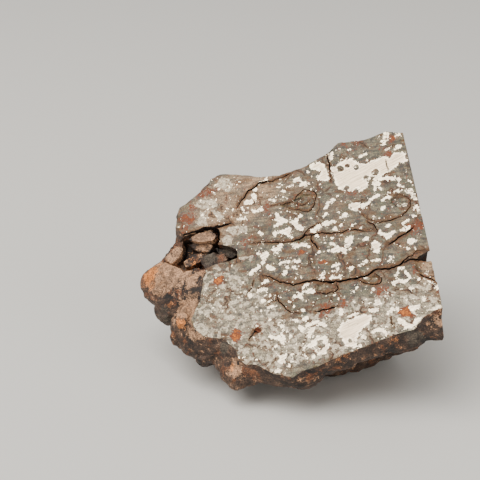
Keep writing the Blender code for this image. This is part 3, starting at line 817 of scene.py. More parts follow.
@dataclass(frozen=True)
class StoneBody:
    """The stone's loft, with its flat face on top and closed at its back end.

    The face is a grid of squares within squares, so that its outermost square is the rim.
    """

    face_rings: int = 96
    rim_rows: tuple[float, ...] = (0.3, 0.7, 1.2, 1.8, 2.4, 3.0, 3.5)
    front_step: float = 0.46
    front_depth: float = 12.0
    back_step: float = 0.62
    rim_wobble: float = 0.14
    chip_width: float = 0.9
    chip_depth: float = 0.55
    saw_reach: float = 0.75  # how near to the saw's cut a point is moved in full
    saw_fade: float = 0.3
    saw_depth: float = 1.5
    end_shares: tuple[float, ...] = (0.72, 0.42, 0.16)  # the rings that close the back end
    end_bulge: float = 0.2

    @property
    def columns(self) -> int:
        """How many points the rim has."""
        return 8 * self.face_rings

    def rim_columns(self) -> Array:
        """The angles of the rim's points, which are evenly spaced along the rim.

        Returns:
            The angles round the axis, anticlockwise.
        """
        loop = np.asarray(RIM)[::-1]
        loop = np.vstack((loop, loop[0]))
        along = np.append(0.0, np.linalg.norm(np.diff(loop, axis=0), axis=1).cumsum())
        at = np.linspace(0.0, along[-1], self.columns, endpoint=False)
        points = np.column_stack([np.interp(at, along, loop[:, k]) for k in range(2)])
        offset = points - AXIS_START
        return np.arctan2(offset[:, 1], offset[:, 0])

    def depths(self) -> Array:
        """The depths of the rows below the rim, which are closest together near it.

        Returns:
            The depths, those near the rim first.
        """
        front = np.arange(self.rim_rows[-1] + self.front_step, self.front_depth, self.front_step)
        back = np.arange(self.front_depth, SECTIONS[-1][0] - 0.1, self.back_step)
        return np.concatenate((self.rim_rows, front, back, SECTIONS[-1][:1]))

    def smooth_radii(self, angles: Array, depths: Array) -> Array:
        """Radii of the unroughened form: a cubic through the outlines, trimmed by the fractures.

        Args:
            angles: The columns' angles.
            depths: The rows' depths.

        Returns:
            One row for each depth.
        """
        known = np.array([section[0] for section in SECTIONS])
        radii = np.array([outline_radii(line, axis_at(at), angles) for at, line in SECTIONS])
        slopes = np.gradient(radii, known, axis=0)
        i = np.clip(np.searchsorted(known, depths, side="right") - 1, 0, len(known) - 2)
        span = (known[i + 1] - known[i])[:, None]
        t = (depths[:, None] - known[i][:, None]) / span
        blended = (
            (2 * t**3 - 3 * t**2 + 1) * radii[i]
            + (t**3 - 2 * t**2 + t) * span * slopes[i]
            + (3 * t**2 - 2 * t**3) * radii[i + 1]
            + (t**3 - t**2) * span * slopes[i + 1]
        )
        direction = np.column_stack((np.cos(angles), np.sin(angles)))
        starts = np.column_stack((axis_at(depths), -depths))
        for outward, through in FRACTURES:
            slope = direction @ outward[:2]
            reach = ((np.asarray(through) - starts) @ outward)[:, None]
            meets = np.where(slope > 1e-6, reach / np.maximum(slope, 1e-6), np.inf)
            blended = np.minimum(blended, np.maximum(meets, LEAST_RADIUS))
        return blended

    def rings(self, angles: Array, depths: Array) -> Array:
        """Rings of roughened points round the stone.

        A point stands out from the axis by its smooth radius, plus the lumps and the rim's wobble.

        Args:
            angles: The columns' angles.
            depths: The rows' depths.

        Returns:
            The points, as (ring, point, coordinate).
        """
        direction = np.column_stack((np.cos(angles), np.sin(angles)))
        radii = self.smooth_radii(angles, depths)
        flat = axis_at(depths)[:, None] + radii[..., None] * direction
        deep = np.broadcast_to(-depths[:, None, None], (*radii.shape, 1))
        points = np.concatenate((flat, deep), axis=2)
        spots = points.reshape(-1, 3)
        rough = sum(
            rise * (cell_lumps(spots * LAYER_STRETCH, size, seed) - 0.6)
            for size, rise, seed in LUMP_LAYERS
        )
        fade = np.minimum(1.0, depths / SMOOTH_RIM_DEPTH)[:, None]
        wobble = smooth_noise(spots, 1.7, 5) + 0.6 * smooth_noise(spots, 0.7, 6)
        out = fade * rough.reshape(radii.shape) + self.rim_wobble * wobble.reshape(radii.shape)
        points[..., :2] += out[..., None] * direction
        return points

    def meet_saw(self, rings: Array) -> Array:
        """Moves the points near the rim that lie along the saw's cut a little past it.

        Args:
            rings: The rings, the rim first.

        Returns:
            The rings, so moved.
        """
        top, foot = np.asarray(SAW_EDGE_TOP), np.asarray(SAW_EDGE_FOOT)
        along = (foot - top) / np.linalg.norm(foot - top)
        outward = np.array((-along[1], along[0]))
        short = -(rings[..., :2] - top) @ outward
        near = np.clip((self.saw_reach - short) / self.saw_fade, 0.0, 1.0)
        near *= rings[..., 2] > -self.saw_depth
        moved = rings.copy()
        moved[..., :2] += (near * np.maximum(short + SAW_OVERCUT, 0.0))[..., None] * outward
        return moved

    def face_grid(self, rim: Array) -> tuple[Array, Indices]:
        """The face's points within the rim: each square ring is the rim drawn in to the axis.

        Args:
            rim: The rim's points.

        Returns:
            The inner points, and the quads with the rim's points numbered after the inner ones.
        """
        rings = self.face_rings
        i, j = (grid.ravel() for grid in np.mgrid[-rings : rings + 1, -rings : rings + 1])
        ring = np.maximum(abs(i), abs(j))
        steps = [j + ring, 3 * ring - i, 5 * ring - j]
        share = np.select([i == ring, j == ring, i == -ring], steps, 7 * ring + i)
        place = (share / np.maximum(8 * ring, 1) % 1.0) * self.columns
        before = np.floor(place + 1e-6).astype(int) % self.columns
        part = np.clip(place - before, 0.0, 1.0)[:, None]
        edge = rim[before] * (1 - part) + rim[(before + 1) % self.columns] * part
        centre = np.array((*AXIS_START, 0.0))
        points = centre + (ring / rings)[:, None] * (edge - centre)
        inner = ring < rings
        number = np.where(inner, np.cumsum(inner) - 1, inner.sum() + before)
        number = number.reshape(2 * rings + 1, -1)
        quads = (number[:-1, :-1], number[1:, :-1], number[1:, 1:], number[:-1, 1:])
        return points[inner], np.stack(quads, axis=-1).reshape(-1, 4)

    def face_drop(self, points: Array, camera: PhotoCamera) -> Array:
        """How far the face lies below its plane: broken places, and chips at its rim.

        Args:
            points: Points (u, v, w) of the face.
            camera: Places what was read off the photo.

        Returns:
            The depths, in millimetres.
        """
        drop = np.zeros(len(points))
        for pluck in PLUCKS.values():
            inside = -outline_distance(points[:, :2], camera.face_points(pluck.outline))
            rough = 1.0 + 0.35 * smooth_noise(points, 0.9, 61)
            rough += 0.25 * smooth_noise(points, 0.4, 62)
            ragged = inside + 0.18 * smooth_noise(points, 0.8, 63)
            drop = np.maximum(drop, pluck.depth * np.clip(ragged / 0.25, 0.0, 1.0) * rough)
        to_rim = -outline_distance(points[:, :2], np.asarray(RIM))
        chips = smooth_noise(points, 1.3, 64) + 0.6 * smooth_noise(points, 0.5, 65) - 0.45
        bite = np.clip(chips, 0.0, 1.0) * np.clip(1.0 - to_rim / self.chip_width, 0.0, 1.0)
        return np.maximum(drop, self.chip_depth * bite)

    def stitch(self, upper: int, lower: int) -> Indices:
        """Triangles between a full ring and the ring below it with half as many points.

        Args:
            upper: The number of the full ring's first point.
            lower: The number of the half ring's first point.

        Returns:
            Three corners a row.
        """
        j = np.arange(self.columns // 2)
        a, b = upper + 2 * j, lower + j
        middle, after = a + 1, upper + (2 * j + 2) % self.columns
        below = lower + (j + 1) % (self.columns // 2)
        corners = ((a, b, middle), (middle, b, below), (middle, below, after))
        return np.concatenate([np.stack(corner, axis=-1) for corner in corners])

    def build(self, camera: PhotoCamera) -> Shell:
        """Joins the face, the rows of full rings, the rows of half rings and the end.

        Args:
            camera: Places what was read off the photo.

        Returns:
            The closed mesh.
        """
        angles = self.rim_columns()
        depths = self.depths()
        upper = len(self.rim_rows)
        full = self.rings(angles, np.append(0.0, depths[:upper]))
        full[0, :, 2] = 0.0
        full = self.meet_saw(full)
        half = self.rings(angles[::2], depths[upper:])
        inner, face_quads = self.face_grid(full[0])
        inner[:, 2] = -self.face_drop(inner, camera)
        rim_drop = self.face_drop(full[0], camera)
        full[..., 2] -= rim_drop * np.clip(1.0 + full[..., 2] / SMOOTH_RIM_DEPTH, 0.0, 1.0)
        tip = np.array((*axis_at(depths[-1]), -depths[-1] - self.end_bulge))
        ends = tip + np.array(self.end_shares)[:, None, None] * (half[-1] - tip)
        half = np.concatenate((half, ends))
        rows, columns = half.shape[:2]
        rim_first = len(inner)
        half_first = rim_first + full.shape[0] * self.columns
        tip_number = half_first + rows * columns
        last = tip_number - columns
        column = np.arange(columns)
        cap = (last + column, np.full(columns, tip_number), last + (column + 1) % columns)
        points = np.vstack((inner, full.reshape(-1, 3), half.reshape(-1, 3), tip))
        patches = [
            (face_quads, Finish.POLISHED),
            (ring_quads(full.shape[0], self.columns, rim_first), Finish.CRUST),
            (self.stitch(half_first - self.columns, half_first), Finish.CRUST),
            (ring_quads(rows, columns, half_first), Finish.CRUST),
            (np.stack(cap, axis=-1), Finish.CRUST),
        ]
        return Shell(points, patches)


@dataclass(frozen=True)
class Chunk:
    """A boulder, or the notch: a ball trimmed by flat breaks, and roughened.

    The distance to each break, along a direction from the middle, is its height over the cosine
    between the two. The radius is a soft minimum of these, the sharper the higher the power is.
    """

    middle: tuple[float, float, float]
    half_sizes: tuple[float, float, float]
    turn: float  # degrees about the face's outward axis
    rise: float  # height of its lumps
    sharpness: float
    seed: int
    joining: Joining = Joining.GROWN
    finish: Finish = Finish.CRUST
    rows: int = 46
    columns: int = 68
    breaks: int = 15
    nearest_break: float = 0.80  # how far in the breaks may be, on a ball of radius 1
    widest: float = 1.12  # how far out its corners may be

    def build(self) -> Shell:
        """Makes the chunk.

        Returns:
            The closed mesh.
        """
        random = np.random.default_rng(self.seed)
        normals = random.normal(size=(self.breaks, 3))
        normals /= np.linalg.norm(normals, axis=1)[:, None]
        heights = random.uniform(self.nearest_break, 1.0, self.breaks)
        tilt = np.linspace(0.0, math.pi, self.rows + 2)[1:-1, None]
        round_angle = np.linspace(0.0, 2 * math.pi, self.columns, endpoint=False)
        level = np.broadcast_to(np.cos(tilt), (self.rows, self.columns))
        flat = np.sin(tilt)
        rings = np.stack((flat * np.cos(round_angle), flat * np.sin(round_angle), level), axis=-1)
        poles = np.array(((0.0, 0.0, 1.0), (0.0, 0.0, -1.0)))
        directions = np.vstack((rings.reshape(-1, 3), poles))
        facing = np.maximum(directions @ normals.T, 1e-6) / heights
        radius = (facing**self.sharpness).sum(axis=1) ** (-1.0 / self.sharpness)
        points = directions * np.minimum(radius, self.widest)[:, None] * self.half_sizes
        outward = points / np.linalg.norm(points, axis=1)[:, None]
        spots = points + self.middle
        lumps = cell_lumps(spots, 2.6, 41) - 0.5 + 0.5 * (cell_lumps(spots, 1.2, 43) - 0.5)
        points = points + outward * (self.rise * lumps)[:, None]
        cos, sin = math.cos(math.radians(self.turn)), math.sin(math.radians(self.turn))
        spin = np.array(((cos, sin, 0.0), (-sin, cos, 0.0), (0.0, 0.0, 1.0)))
        points = points @ spin + self.middle
        ball = points[:-2].reshape(self.rows, self.columns, 3)
        return closed_rings(ball, points[-2], points[-1], self.finish)


BOULDERS = {
    "left_lump": Chunk((-29.4, -9.9, -6.2), (6.2, 4.6, 4.7), 14.0, 0.9, 7.0, 101),
    "under_lump": Chunk((-28.6, -14.4, -6.6), (3.1, 3.0, 3.6), 0.0, 0.5, 9.0, 106),
    "left_ledge": Chunk((-23.4, -17.2, -5.0), (2.8, 4.4, 3.8), -8.0, 0.8, 9.0, 102),
    "knob_dark": Chunk((-17.0, -22.7, -5.6), (2.6, 1.9, 3.0), 10.0, 0.6, 7.0, 103),
    "knob_brown": Chunk((-13.4, -21.6, -4.6), (2.4, 2.2, 3.0), 0.0, 0.6, 7.0, 104),
    "low_corner": Chunk((-10.6, -25.6, -4.2), (2.9, 2.0, 2.8), -30.0, 0.6, 9.0, 105),
}
EDGE_NOTCH = Chunk(
    (23.2, 3.5, -0.8), (1.9, 1.0, 2.0), 20.0, 0.5, 12.0, 121, Joining.CUT, Finish.FISSURE, 24, 36
)


@dataclass(frozen=True)
class Shard:
    """A broken piece with a flat slanted top and flat tapering sides, which stands in the hollow.

    Its outline was read off the photo, in its pixels, and widens or narrows with depth.
    """

    outline: Pixels
    top: float  # height of its top's middle above the face
    slant: tuple[float, float]  # how fast the top rises along u and v
    flare: float  # how much wider it is at its foot
    seed: int
    foot: float = -6.4
    wobble: float = 0.10
    columns: int = 120

    def build(self, camera: PhotoCamera) -> Shell:
        """Carries the outline in across the top and down the sides.

        A pixel above the face's plane falls elsewhere on it, so that the outline is moved back
        along the view for a top that lies lower.

        Args:
            camera: Places the outline on the face.

        Returns:
            The closed mesh.
        """
        outline = camera.face_points(self.outline) + camera.sink(-self.top)
        middle = outline.mean(axis=0)
        angles = np.linspace(-math.pi, math.pi, self.columns, endpoint=False)
        radii = outline_radii(outline, middle, angles)
        inward = np.array((0.12, 0.35, 0.6, 0.8, 0.93))
        down = np.linspace(0.0, 1.0, 12)
        share = np.concatenate((inward, 1.0 + (self.flare - 1.0) * down, (0.6, 0.2)))
        level = np.concatenate((np.zeros(len(inward)), down, (1.0, 1.0)))
        reach = share[:, None] * radii
        u, v = reach * np.cos(angles), reach * np.sin(angles)
        tall = self.top + self.slant[0] * u + self.slant[1] * v
        height = tall + level[:, None] * (self.foot - tall)
        spots = np.stack((middle[0] + u, middle[1] + v, height), axis=-1).reshape(-1, 3)
        rough = smooth_noise(spots, 1.3, self.seed) + 0.6 * smooth_noise(spots, 0.5, self.seed + 1)
        spots += self.wobble * rough[:, None]
        rings = spots.reshape(*reach.shape, 3)
        start = np.array((*middle, self.top))
        end = np.array((*middle, self.foot))
        return closed_rings(rings, start, end, Finish.CRUST)


SHARDS = {
    "shard_wedge": Shard(
        ((188.5, 239.5), (192, 236.5), (199, 232.8), (211, 231.4), (216.8, 236), (212.5, 240.6),
         (203, 242.4), (196, 241.6)), -0.25, (0.02, 0.05), 0.86, 141,
    ),
    "shard_under_wedge": Shard(
        ((187, 244), (195, 242.5), (207, 242), (212, 246), (208, 251.5), (197, 250.5)),
        -1.7, (0.05, 0.30), 1.1, 143,
    ),
    "shard_ledge": Shard(
        ((163, 258), (169, 247), (176, 239.5), (181, 241), (181.5, 250), (178, 258), (170, 264)),
        -2.2, (0.10, -0.05), 1.15, 145,
    ),
    "shard_streak": Shard(
        ((183, 262), (190, 255), (203, 251.5), (209, 253), (203, 259.5), (192, 266), (185, 268)),
        -2.6, (0.05, -0.25), 1.2, 147,
    ),
    "shard_grey": Shard(
        ((200, 262), (207, 256), (216, 252.8), (224, 254), (226, 259.5), (217, 264), (205, 269)),
        -1.9, (-0.12, 0.10), 1.15, 149,
    ),
    "shard_right": Shard(
        ((215, 248), (224, 247.2), (238, 247), (238.5, 252), (231, 257), (219, 254)),
        -2.4, (0.0, 0.30), 1.2, 151,
    ),
    "shard_left": Shard(
        ((184, 272), (192, 269), (199, 269), (201, 275), (196, 284), (188, 288), (183, 281)),
        -0.9, (0.15, 0.05), 1.1, 153,
    ),
}


@dataclass(frozen=True)
class HollowCutter:
    """What the hollow takes away: its outline with a ragged wall, over a rough floor."""

    columns: int = 160
    wobble: float = 0.35
    floor_rise: float = 0.7
    lift: float = 2.0  # how far it stands above the face

    def build(self) -> Shell:
        """Carries the outline down the wall and in across the floor, round the hollow's middle.

        Returns:
            The closed mesh.
        """
        angles = np.linspace(-math.pi, math.pi, self.columns, endpoint=False)
        radii = outline_radii(HOLLOW, np.asarray(HOLLOW_MIDDLE), angles)
        wall = np.linspace(0.6, -HOLLOW_DEPTH, 12)
        shares = np.linspace(1.0, 0.1, 16)[1:]
        share = np.concatenate(((0.5, 1.0), np.ones(len(wall)), shares))
        floor = np.full(len(shares), -HOLLOW_DEPTH)
        height = np.concatenate(((self.lift, self.lift), wall, floor))
        reach = share[:, None] * radii
        on_floor = (height < -HOLLOW_DEPTH + 0.01)[:, None]
        level = np.broadcast_to(height[:, None], reach.shape)
        u = HOLLOW_MIDDLE[0] + reach * np.cos(angles)
        v = HOLLOW_MIDDLE[1] + reach * np.sin(angles)
        rings = np.stack((u, v, level), axis=-1)
        spots = rings.reshape(-1, 3)
        rough = smooth_noise(spots, 1.6, 71) + 0.5 * smooth_noise(spots, 0.6, 72)
        rough = rough.reshape(reach.shape)
        rings[..., 2] += np.where(on_floor, self.floor_rise * rough, 0.0)
        push = np.where(on_floor | (height[:, None] > 1.0), 0.0, self.wobble * rough)
        rings[..., 0] += push * np.cos(angles)
        rings[..., 1] += push * np.sin(angles)
        start = np.array((*HOLLOW_MIDDLE, self.lift))
        end = np.array((*HOLLOW_MIDDLE, -HOLLOW_DEPTH))
        return closed_rings(rings, start, end, Finish.CRUST)


@dataclass(frozen=True)
class CrackCutter:
    """What a crack takes away: a ragged V carried along its route, narrow at both ends."""

    crack: Crack
    seed: int
    spacing: float = 0.3
    stray: float = 0.26
    lean: float = 0.25  # how far its foot strays sideways, as a share of its depth
    lift: float = 1.0  # how far it stands above the face
    overrun: float = 0.05

    def build(self, camera: PhotoCamera) -> Shell:
        """Carries the V along the route.

        The gap at a share s of the route is the widest gap times the root of sin(pi s), and
        strays with noise. The V stands square to the route.

        Args:
            camera: Places the route on the face.

        Returns:
            The closed mesh.
        """
        route = curve_through(camera.face_points(self.crack.route), self.spacing)
        along = np.gradient(route, axis=0)
        along /= np.linalg.norm(along, axis=1)[:, None]
        left = np.column_stack((-along[:, 1], along[:, 0]))
        spots = np.column_stack((route, np.full(len(route), 3.7 * self.seed)))
        sway = smooth_noise(spots, 1.7, 81) + smooth_noise(spots, 0.65, 82)
        route = route + left * (self.stray * sway)[:, None]
        share = np.linspace(0.0, 1.0, len(route))
        taper = np.sqrt(np.clip(np.sin(math.pi * share), 0.03, 1.0))
        ragged = 1.0 + 0.4 * smooth_noise(spots, 1.1, 83) + 0.3 * smooth_noise(spots, 0.5, 84)
        half = 0.5 * self.crack.gap * taper * ragged
        depth = self.crack.depth * np.sqrt(taper)
        lean = self.lean * smooth_noise(spots, 4.0, 85) * depth
        sideways = np.array((-1.0, 1.0, 1.0, 0.62, 0.0, -0.62, -1.0))
        down = np.array((0.0, 0.0, 0.02, 0.5, 1.0, 0.5, 0.02))
        across = sideways * half[:, None] + down * lean[:, None]
        height = np.where(down == 0.0, self.lift, -down * depth[:, None])
        flat = route[:, None] + across[..., None] * left[:, None]
        rings = np.concatenate((flat, height[..., None]), axis=2)
        start = rings[0].mean(axis=0) - self.overrun * np.append(along[0], 0.0)
        end = rings[-1].mean(axis=0) + self.overrun * np.append(along[-1], 0.0)
        return closed_rings(rings, start, end, Finish.FISSURE)


def saw_cutter() -> Shell:
    """The block beyond the sawn side's plane, along the face's straight right edge.

    Returns:
        The closed mesh.
    """
    top, foot = np.array((*SAW_EDGE_TOP, 0.0)), np.array((*SAW_EDGE_FOOT, 0.0))
    along = (foot - top) / np.linalg.norm(foot - top)
    outward = np.array((-along[1], along[0], -SAW_UNDERCUT))
    outward /= np.linalg.norm(outward)
    lengths = np.array((140.0, 40.0, 140.0))
    middle = (top + foot) / 2 + outward * lengths[1] / 2
    axes = np.array((along, outward, np.cross(along, outward)))
    return block_shell(middle, lengths, axes, Finish.SAWN)


def ground_cutter(placement: Placement) -> Shell:
    """The block below the ground, in face coordinates.

    Args:
        placement: Where the face's frame lies.

    Returns:
        The closed mesh.
    """
    lengths = np.full(3, 160.0)
    block = block_shell(np.array((0.0, 0.0, -80.0)), lengths, np.eye(3), Finish.CRUST)
    return Shell(placement.to_face(block.points), block.patches)


@dataclass(frozen=True)
class Spot:
    """A round marking on the stone: its middle in face coordinates, radius and strength."""

    middle: tuple[float, float, float]
    radius: float
    strength: float

    def share(self, points: Array) -> Array:
        """How much of the marking each point has: its strength, falling off to the radius."""
        reach = np.linalg.norm(points - self.middle, axis=1) / self.radius
        return self.strength * np.clip(1.35 * (1.0 - reach), 0.0, 1.0)


# Markings of the crust, in face coordinates.
CRUST_SPOTS = {
    "tan": (
        Spot((-29.5, -8.2, -2.0), 6.2, 1.0),
        Spot((-28.4, -3.6, -2.0), 3.2, 0.7),
        Spot((-23.2, 0.2, -0.2), 3.4, 1.0),
        Spot((-23.5, -1.9, -1.6), 2.4, 0.6),
        Spot((-24.6, -8.0, -1.2), 2.6, 0.8),
        Spot((-22.9, -9.4, -1.2), 2.4, 0.75),
        Spot((-22.4, -15.4, -0.8), 5.0, 0.8),
        Spot((-19.6, -19.6, -0.6), 3.0, 0.7),
        Spot((-9.6, -25.4, -1.2), 2.6, 0.9),
        Spot((27.2, -8.6, -1.2), 2.6, 0.6),
    ),
    # Orange is rust; on the left lump's end, the ledge's edge and the low corner it is also a
    # painted highlight.
    "orange": (
        Spot((-33.2, -9.2, -3.0), 3.6, 1.0),
        Spot((-22.9, -18.4, -0.9), 2.0, 0.9),
        Spot((-24.8, -4.6, -3.2), 2.2, 0.7),
        Spot((-10.8, -25.2, -1.2), 1.5, 1.0),
        Spot((10.6, -18.9, -0.8), 2.2, 0.6),
        Spot((19.6, -13.4, -1.5), 3.4, 0.45),
        Spot((-27.6, -14.8, -2.4), 2.0, 0.5),
    ),
    "grey": (
        Spot((-21.2, -3.4, -2.0), 3.0, 1.0),
        Spot((-17.4, -0.8, -2.0), 2.6, 1.0),
        Spot((-12.3, -21.8, -1.0), 2.2, 0.9),
        Spot((-28.0, -16.2, -5.0), 4.0, 0.8),
        Spot((23.6, -12.4, -1.5), 3.4, 0.8),
    ),
}


@dataclass(frozen=True)
class Markings:
    """What the finishes read at each point of the stone, worked out from its place."""

    camera: PhotoCamera
    edge_limit: float = 0.8
    stain_limit: float = 2.5
    drop_share: float = 0.8  # a drop's radius, as a share of the width that was read
    drop_slope: float = 2.6
    full_gap: float = 0.5  # the gap of a crack whose stain is as wide as they come
    least_stain: float = 0.4
    skin: float = 1.4  # how deep below the face its markings go
    crown_shares: tuple[float, ...] = (0.35, 0.4, 0.25)

    def reach_to(self, flat: Array, x: float, y: float) -> Array:
        """Distance of points (u, v) to where a pixel of the photo falls on the face."""
        return np.hypot(*(flat - self.camera.face_points(((x, y),))[0]).T)

    def metal_edge(self, flat: Array) -> Array:
        """Signed distance to the nearest grain or nodule of metal, below zero inside it.

        A grain is a stroke with round ends: the distance to its route less half its width.

        Args:
            flat: Points (u, v) of the face.

        Returns:
            The distances, in millimetres.
        """
        nearest = np.full(len(flat), self.edge_limit)
        for width, *route in itertools.chain(*GRAINS.values()):
            reach = route_distance(flat, self.camera.face_points(route))
            nearest = np.minimum(nearest, reach - 0.5 * width * FACE_PIXEL)
        for outline in NODULES.values():
            nearest = np.minimum(nearest, outline_distance(flat, self.camera.face_points(outline)))
        for x, y, width in NODULE_DROPS:
            inside = self.drop_share * width * FACE_PIXEL - self.reach_to(flat, x, y)
            nearest = np.maximum(nearest, self.drop_slope * inside)
        return np.clip(nearest, -self.edge_limit, self.edge_limit)

    def pale_edge(self, flat: Array) -> Array:
        """Signed distance to the nearest dull pale patch, below zero inside it.

        Args:
            flat: Points (u, v) of the face.

        Returns:
            The distances, in millimetres.
        """
        nearest = np.full(len(flat), self.edge_limit)
        for outline in PALE_PATCHES.values():
            nearest = np.minimum(nearest, outline_distance(flat, self.camera.face_points(outline)))
        return np.maximum(nearest, -self.edge_limit)

    def crack_reach(self, flat: Array) -> Array:
        """Distance to the nearest open crack, counted as longer beside a narrow one.

        Args:
            flat: Points (u, v) of the face.

        Returns:
            The distances, up to that of the widest stain.
        """
        nearest = np.full(len(flat), self.stain_limit)
        for crack in CRACKS.values():
            reach = route_distance(flat, self.camera.face_points(crack.route))
            width = max(self.least_stain, min(1.0, crack.gap / self.full_gap))
            nearest = np.minimum(nearest, reach / width)
        return nearest

    def face_rust(self, flat: Array) -> Array:
        """How rusty the face is in its spots, each of which fades out to its radius.

        Args:
            flat: Points (u, v) of the face.

        Returns:
            Values from 0 to 1, where it is bright orange.
        """
        total = np.zeros(len(flat))
        for x, y, radius, strength in RUST_SPOTS.values():
            reach = self.reach_to(flat, x, y) / radius
            total = np.maximum(total, strength * np.clip(1.5 * (1.0 - reach), 0.0, 1.0))
        return total

    def tint(self, flat: Array, bands: tuple[Band, ...]) -> Array:
        """How much of a region's tint each point of the face has.

        Args:
            flat: Points (u, v) of the face.
            bands: The region, as lines with a width.

        Returns:
            Values from 0 to 1.
        """
        total = np.zeros(len(flat))
        for start, end, width in bands:
            reach = route_distance(flat, np.array((start, end)))
            total = np.maximum(total, np.clip(1.4 * (1.0 - reach / width), 0.0, 1.0))
        return total

    def write(self, mesh: bpy.types.Mesh, points: Array) -> None:
        """Stores the markings on the mesh, one value or vector for each point.

        Args:
            mesh: The stone's mesh.
            points: Its points in face coordinates.
        """
        stirred = points + np.column_stack([
            0.55 * smooth_noise(points, 1.2, seed) + 0.45 * smooth_noise(points, 0.5, seed + 5)
            for seed in (211, 212, 213)
        ])
        on_face = points[:, 2] > -self.skin
        flat, stirred_flat = points[on_face, :2], stirred[on_face, :2]
        drawn = {
            "metal_edge": (self.metal_edge, self.edge_limit),
            "pale_edge": (self.pale_edge, self.edge_limit),
            "crack_reach": (self.crack_reach, self.stain_limit),
            "face_rust": (self.face_rust, 0.0),
            # The band over the lower face, whose paler tint is partly painted sheen.
            "haze": (lambda place: self.tint(place, HAZE_AND_SHEEN_BANDS), 0.0),
            "blush": (lambda place: self.tint(place, BLUSH_BANDS), 0.0),
        }
        values = {}
        for name, (measure, elsewhere) in drawn.items():
            values[name] = np.full(len(points), elsewhere)
            values[name][on_face] = measure(stirred_flat if name == "face_rust" else flat)
        # How high a point stands on the crust's lumps, which places the crust's painted shade and
        # painted highlight.
        stretched = points * LAYER_STRETCH
        values["crown"] = sum(
            share * cell_lumps(stretched, size, seed)
            for share, (size, _, seed) in zip(self.crown_shares, LUMP_LAYERS)
        )
        for name, spots in CRUST_SPOTS.items():
            values[name] = np.max([spot.share(stirred) for spot in spots], axis=0)
        for name, value in values.items():
            mesh.attributes.new(name, "FLOAT", "POINT").data.foreach_set("value", value)
        place = mesh.attributes.new("face_place", "FLOAT_VECTOR", "POINT")
        place.data.foreach_set("vector", points.ravel())


@dataclass(frozen=True)
class CrustRelief:
    """The crust's fine relief: grains, plates and pits, fading out towards the cut faces."""

    layers: tuple[tuple[float, float, int], ...] = (  # cell size, height and seed
        (1.8, 0.40, 201), (0.9, 0.20, 202), (0.45, 0.08, 203),
    )
    level: float = 0.62  # the part of a dome's height that lies at the unroughened surface
    grain: float = 0.06
    plate_stretch: tuple[float, float, float] = (0.75, 0.75, 1.5)
    fade: float = 0.8

    def apply(self, mesh: bpy.types.Mesh, points: Array, ground: Array) -> Array:
        """Moves the crust's points along their normals by the sum of the layers' domes.

        Only a point whose every face is crust moves, so the cut edges stay as they are.

        Args:
            mesh: The stone's mesh, in face coordinates.
            points: Its points.
            ground: The points' heights above the ground.

        Returns:
            The moved points.
        """
        slots = np.empty(len(mesh.polygons), np.int32)
        mesh.polygons.foreach_get("material_index", slots)
        sizes = np.empty(len(mesh.polygons), np.int32)
        mesh.polygons.foreach_get("loop_total", sizes)
        corners = np.empty(len(mesh.loops), np.int32)
        mesh.loops.foreach_get("vertex_index", corners)
        free = np.ones(len(points), bool)
        free[corners[np.repeat(slots, sizes) != Finish.CRUST.value]] = False
        spots = points * self.plate_stretch
        rise = sum(
            tall * (cell_lumps(spots, size, seed) - self.level) for size, tall, seed in self.layers
        )
        rise += self.grain * smooth_noise(points, 0.5, 204)
        clear = np.minimum(-points[:, 2], ground) / self.fade
        rise *= np.clip(clear, 0.0, 1.0) * free
        return points + read_vectors(mesh, "normal") * rise[:, None]


Socket = bpy.types.NodeSocket
Colour = tuple[float, float, float]
Value = float | Colour | Socket
Given = dict[str | int, Value]
Sockets = tuple[tuple[str, str], ...]


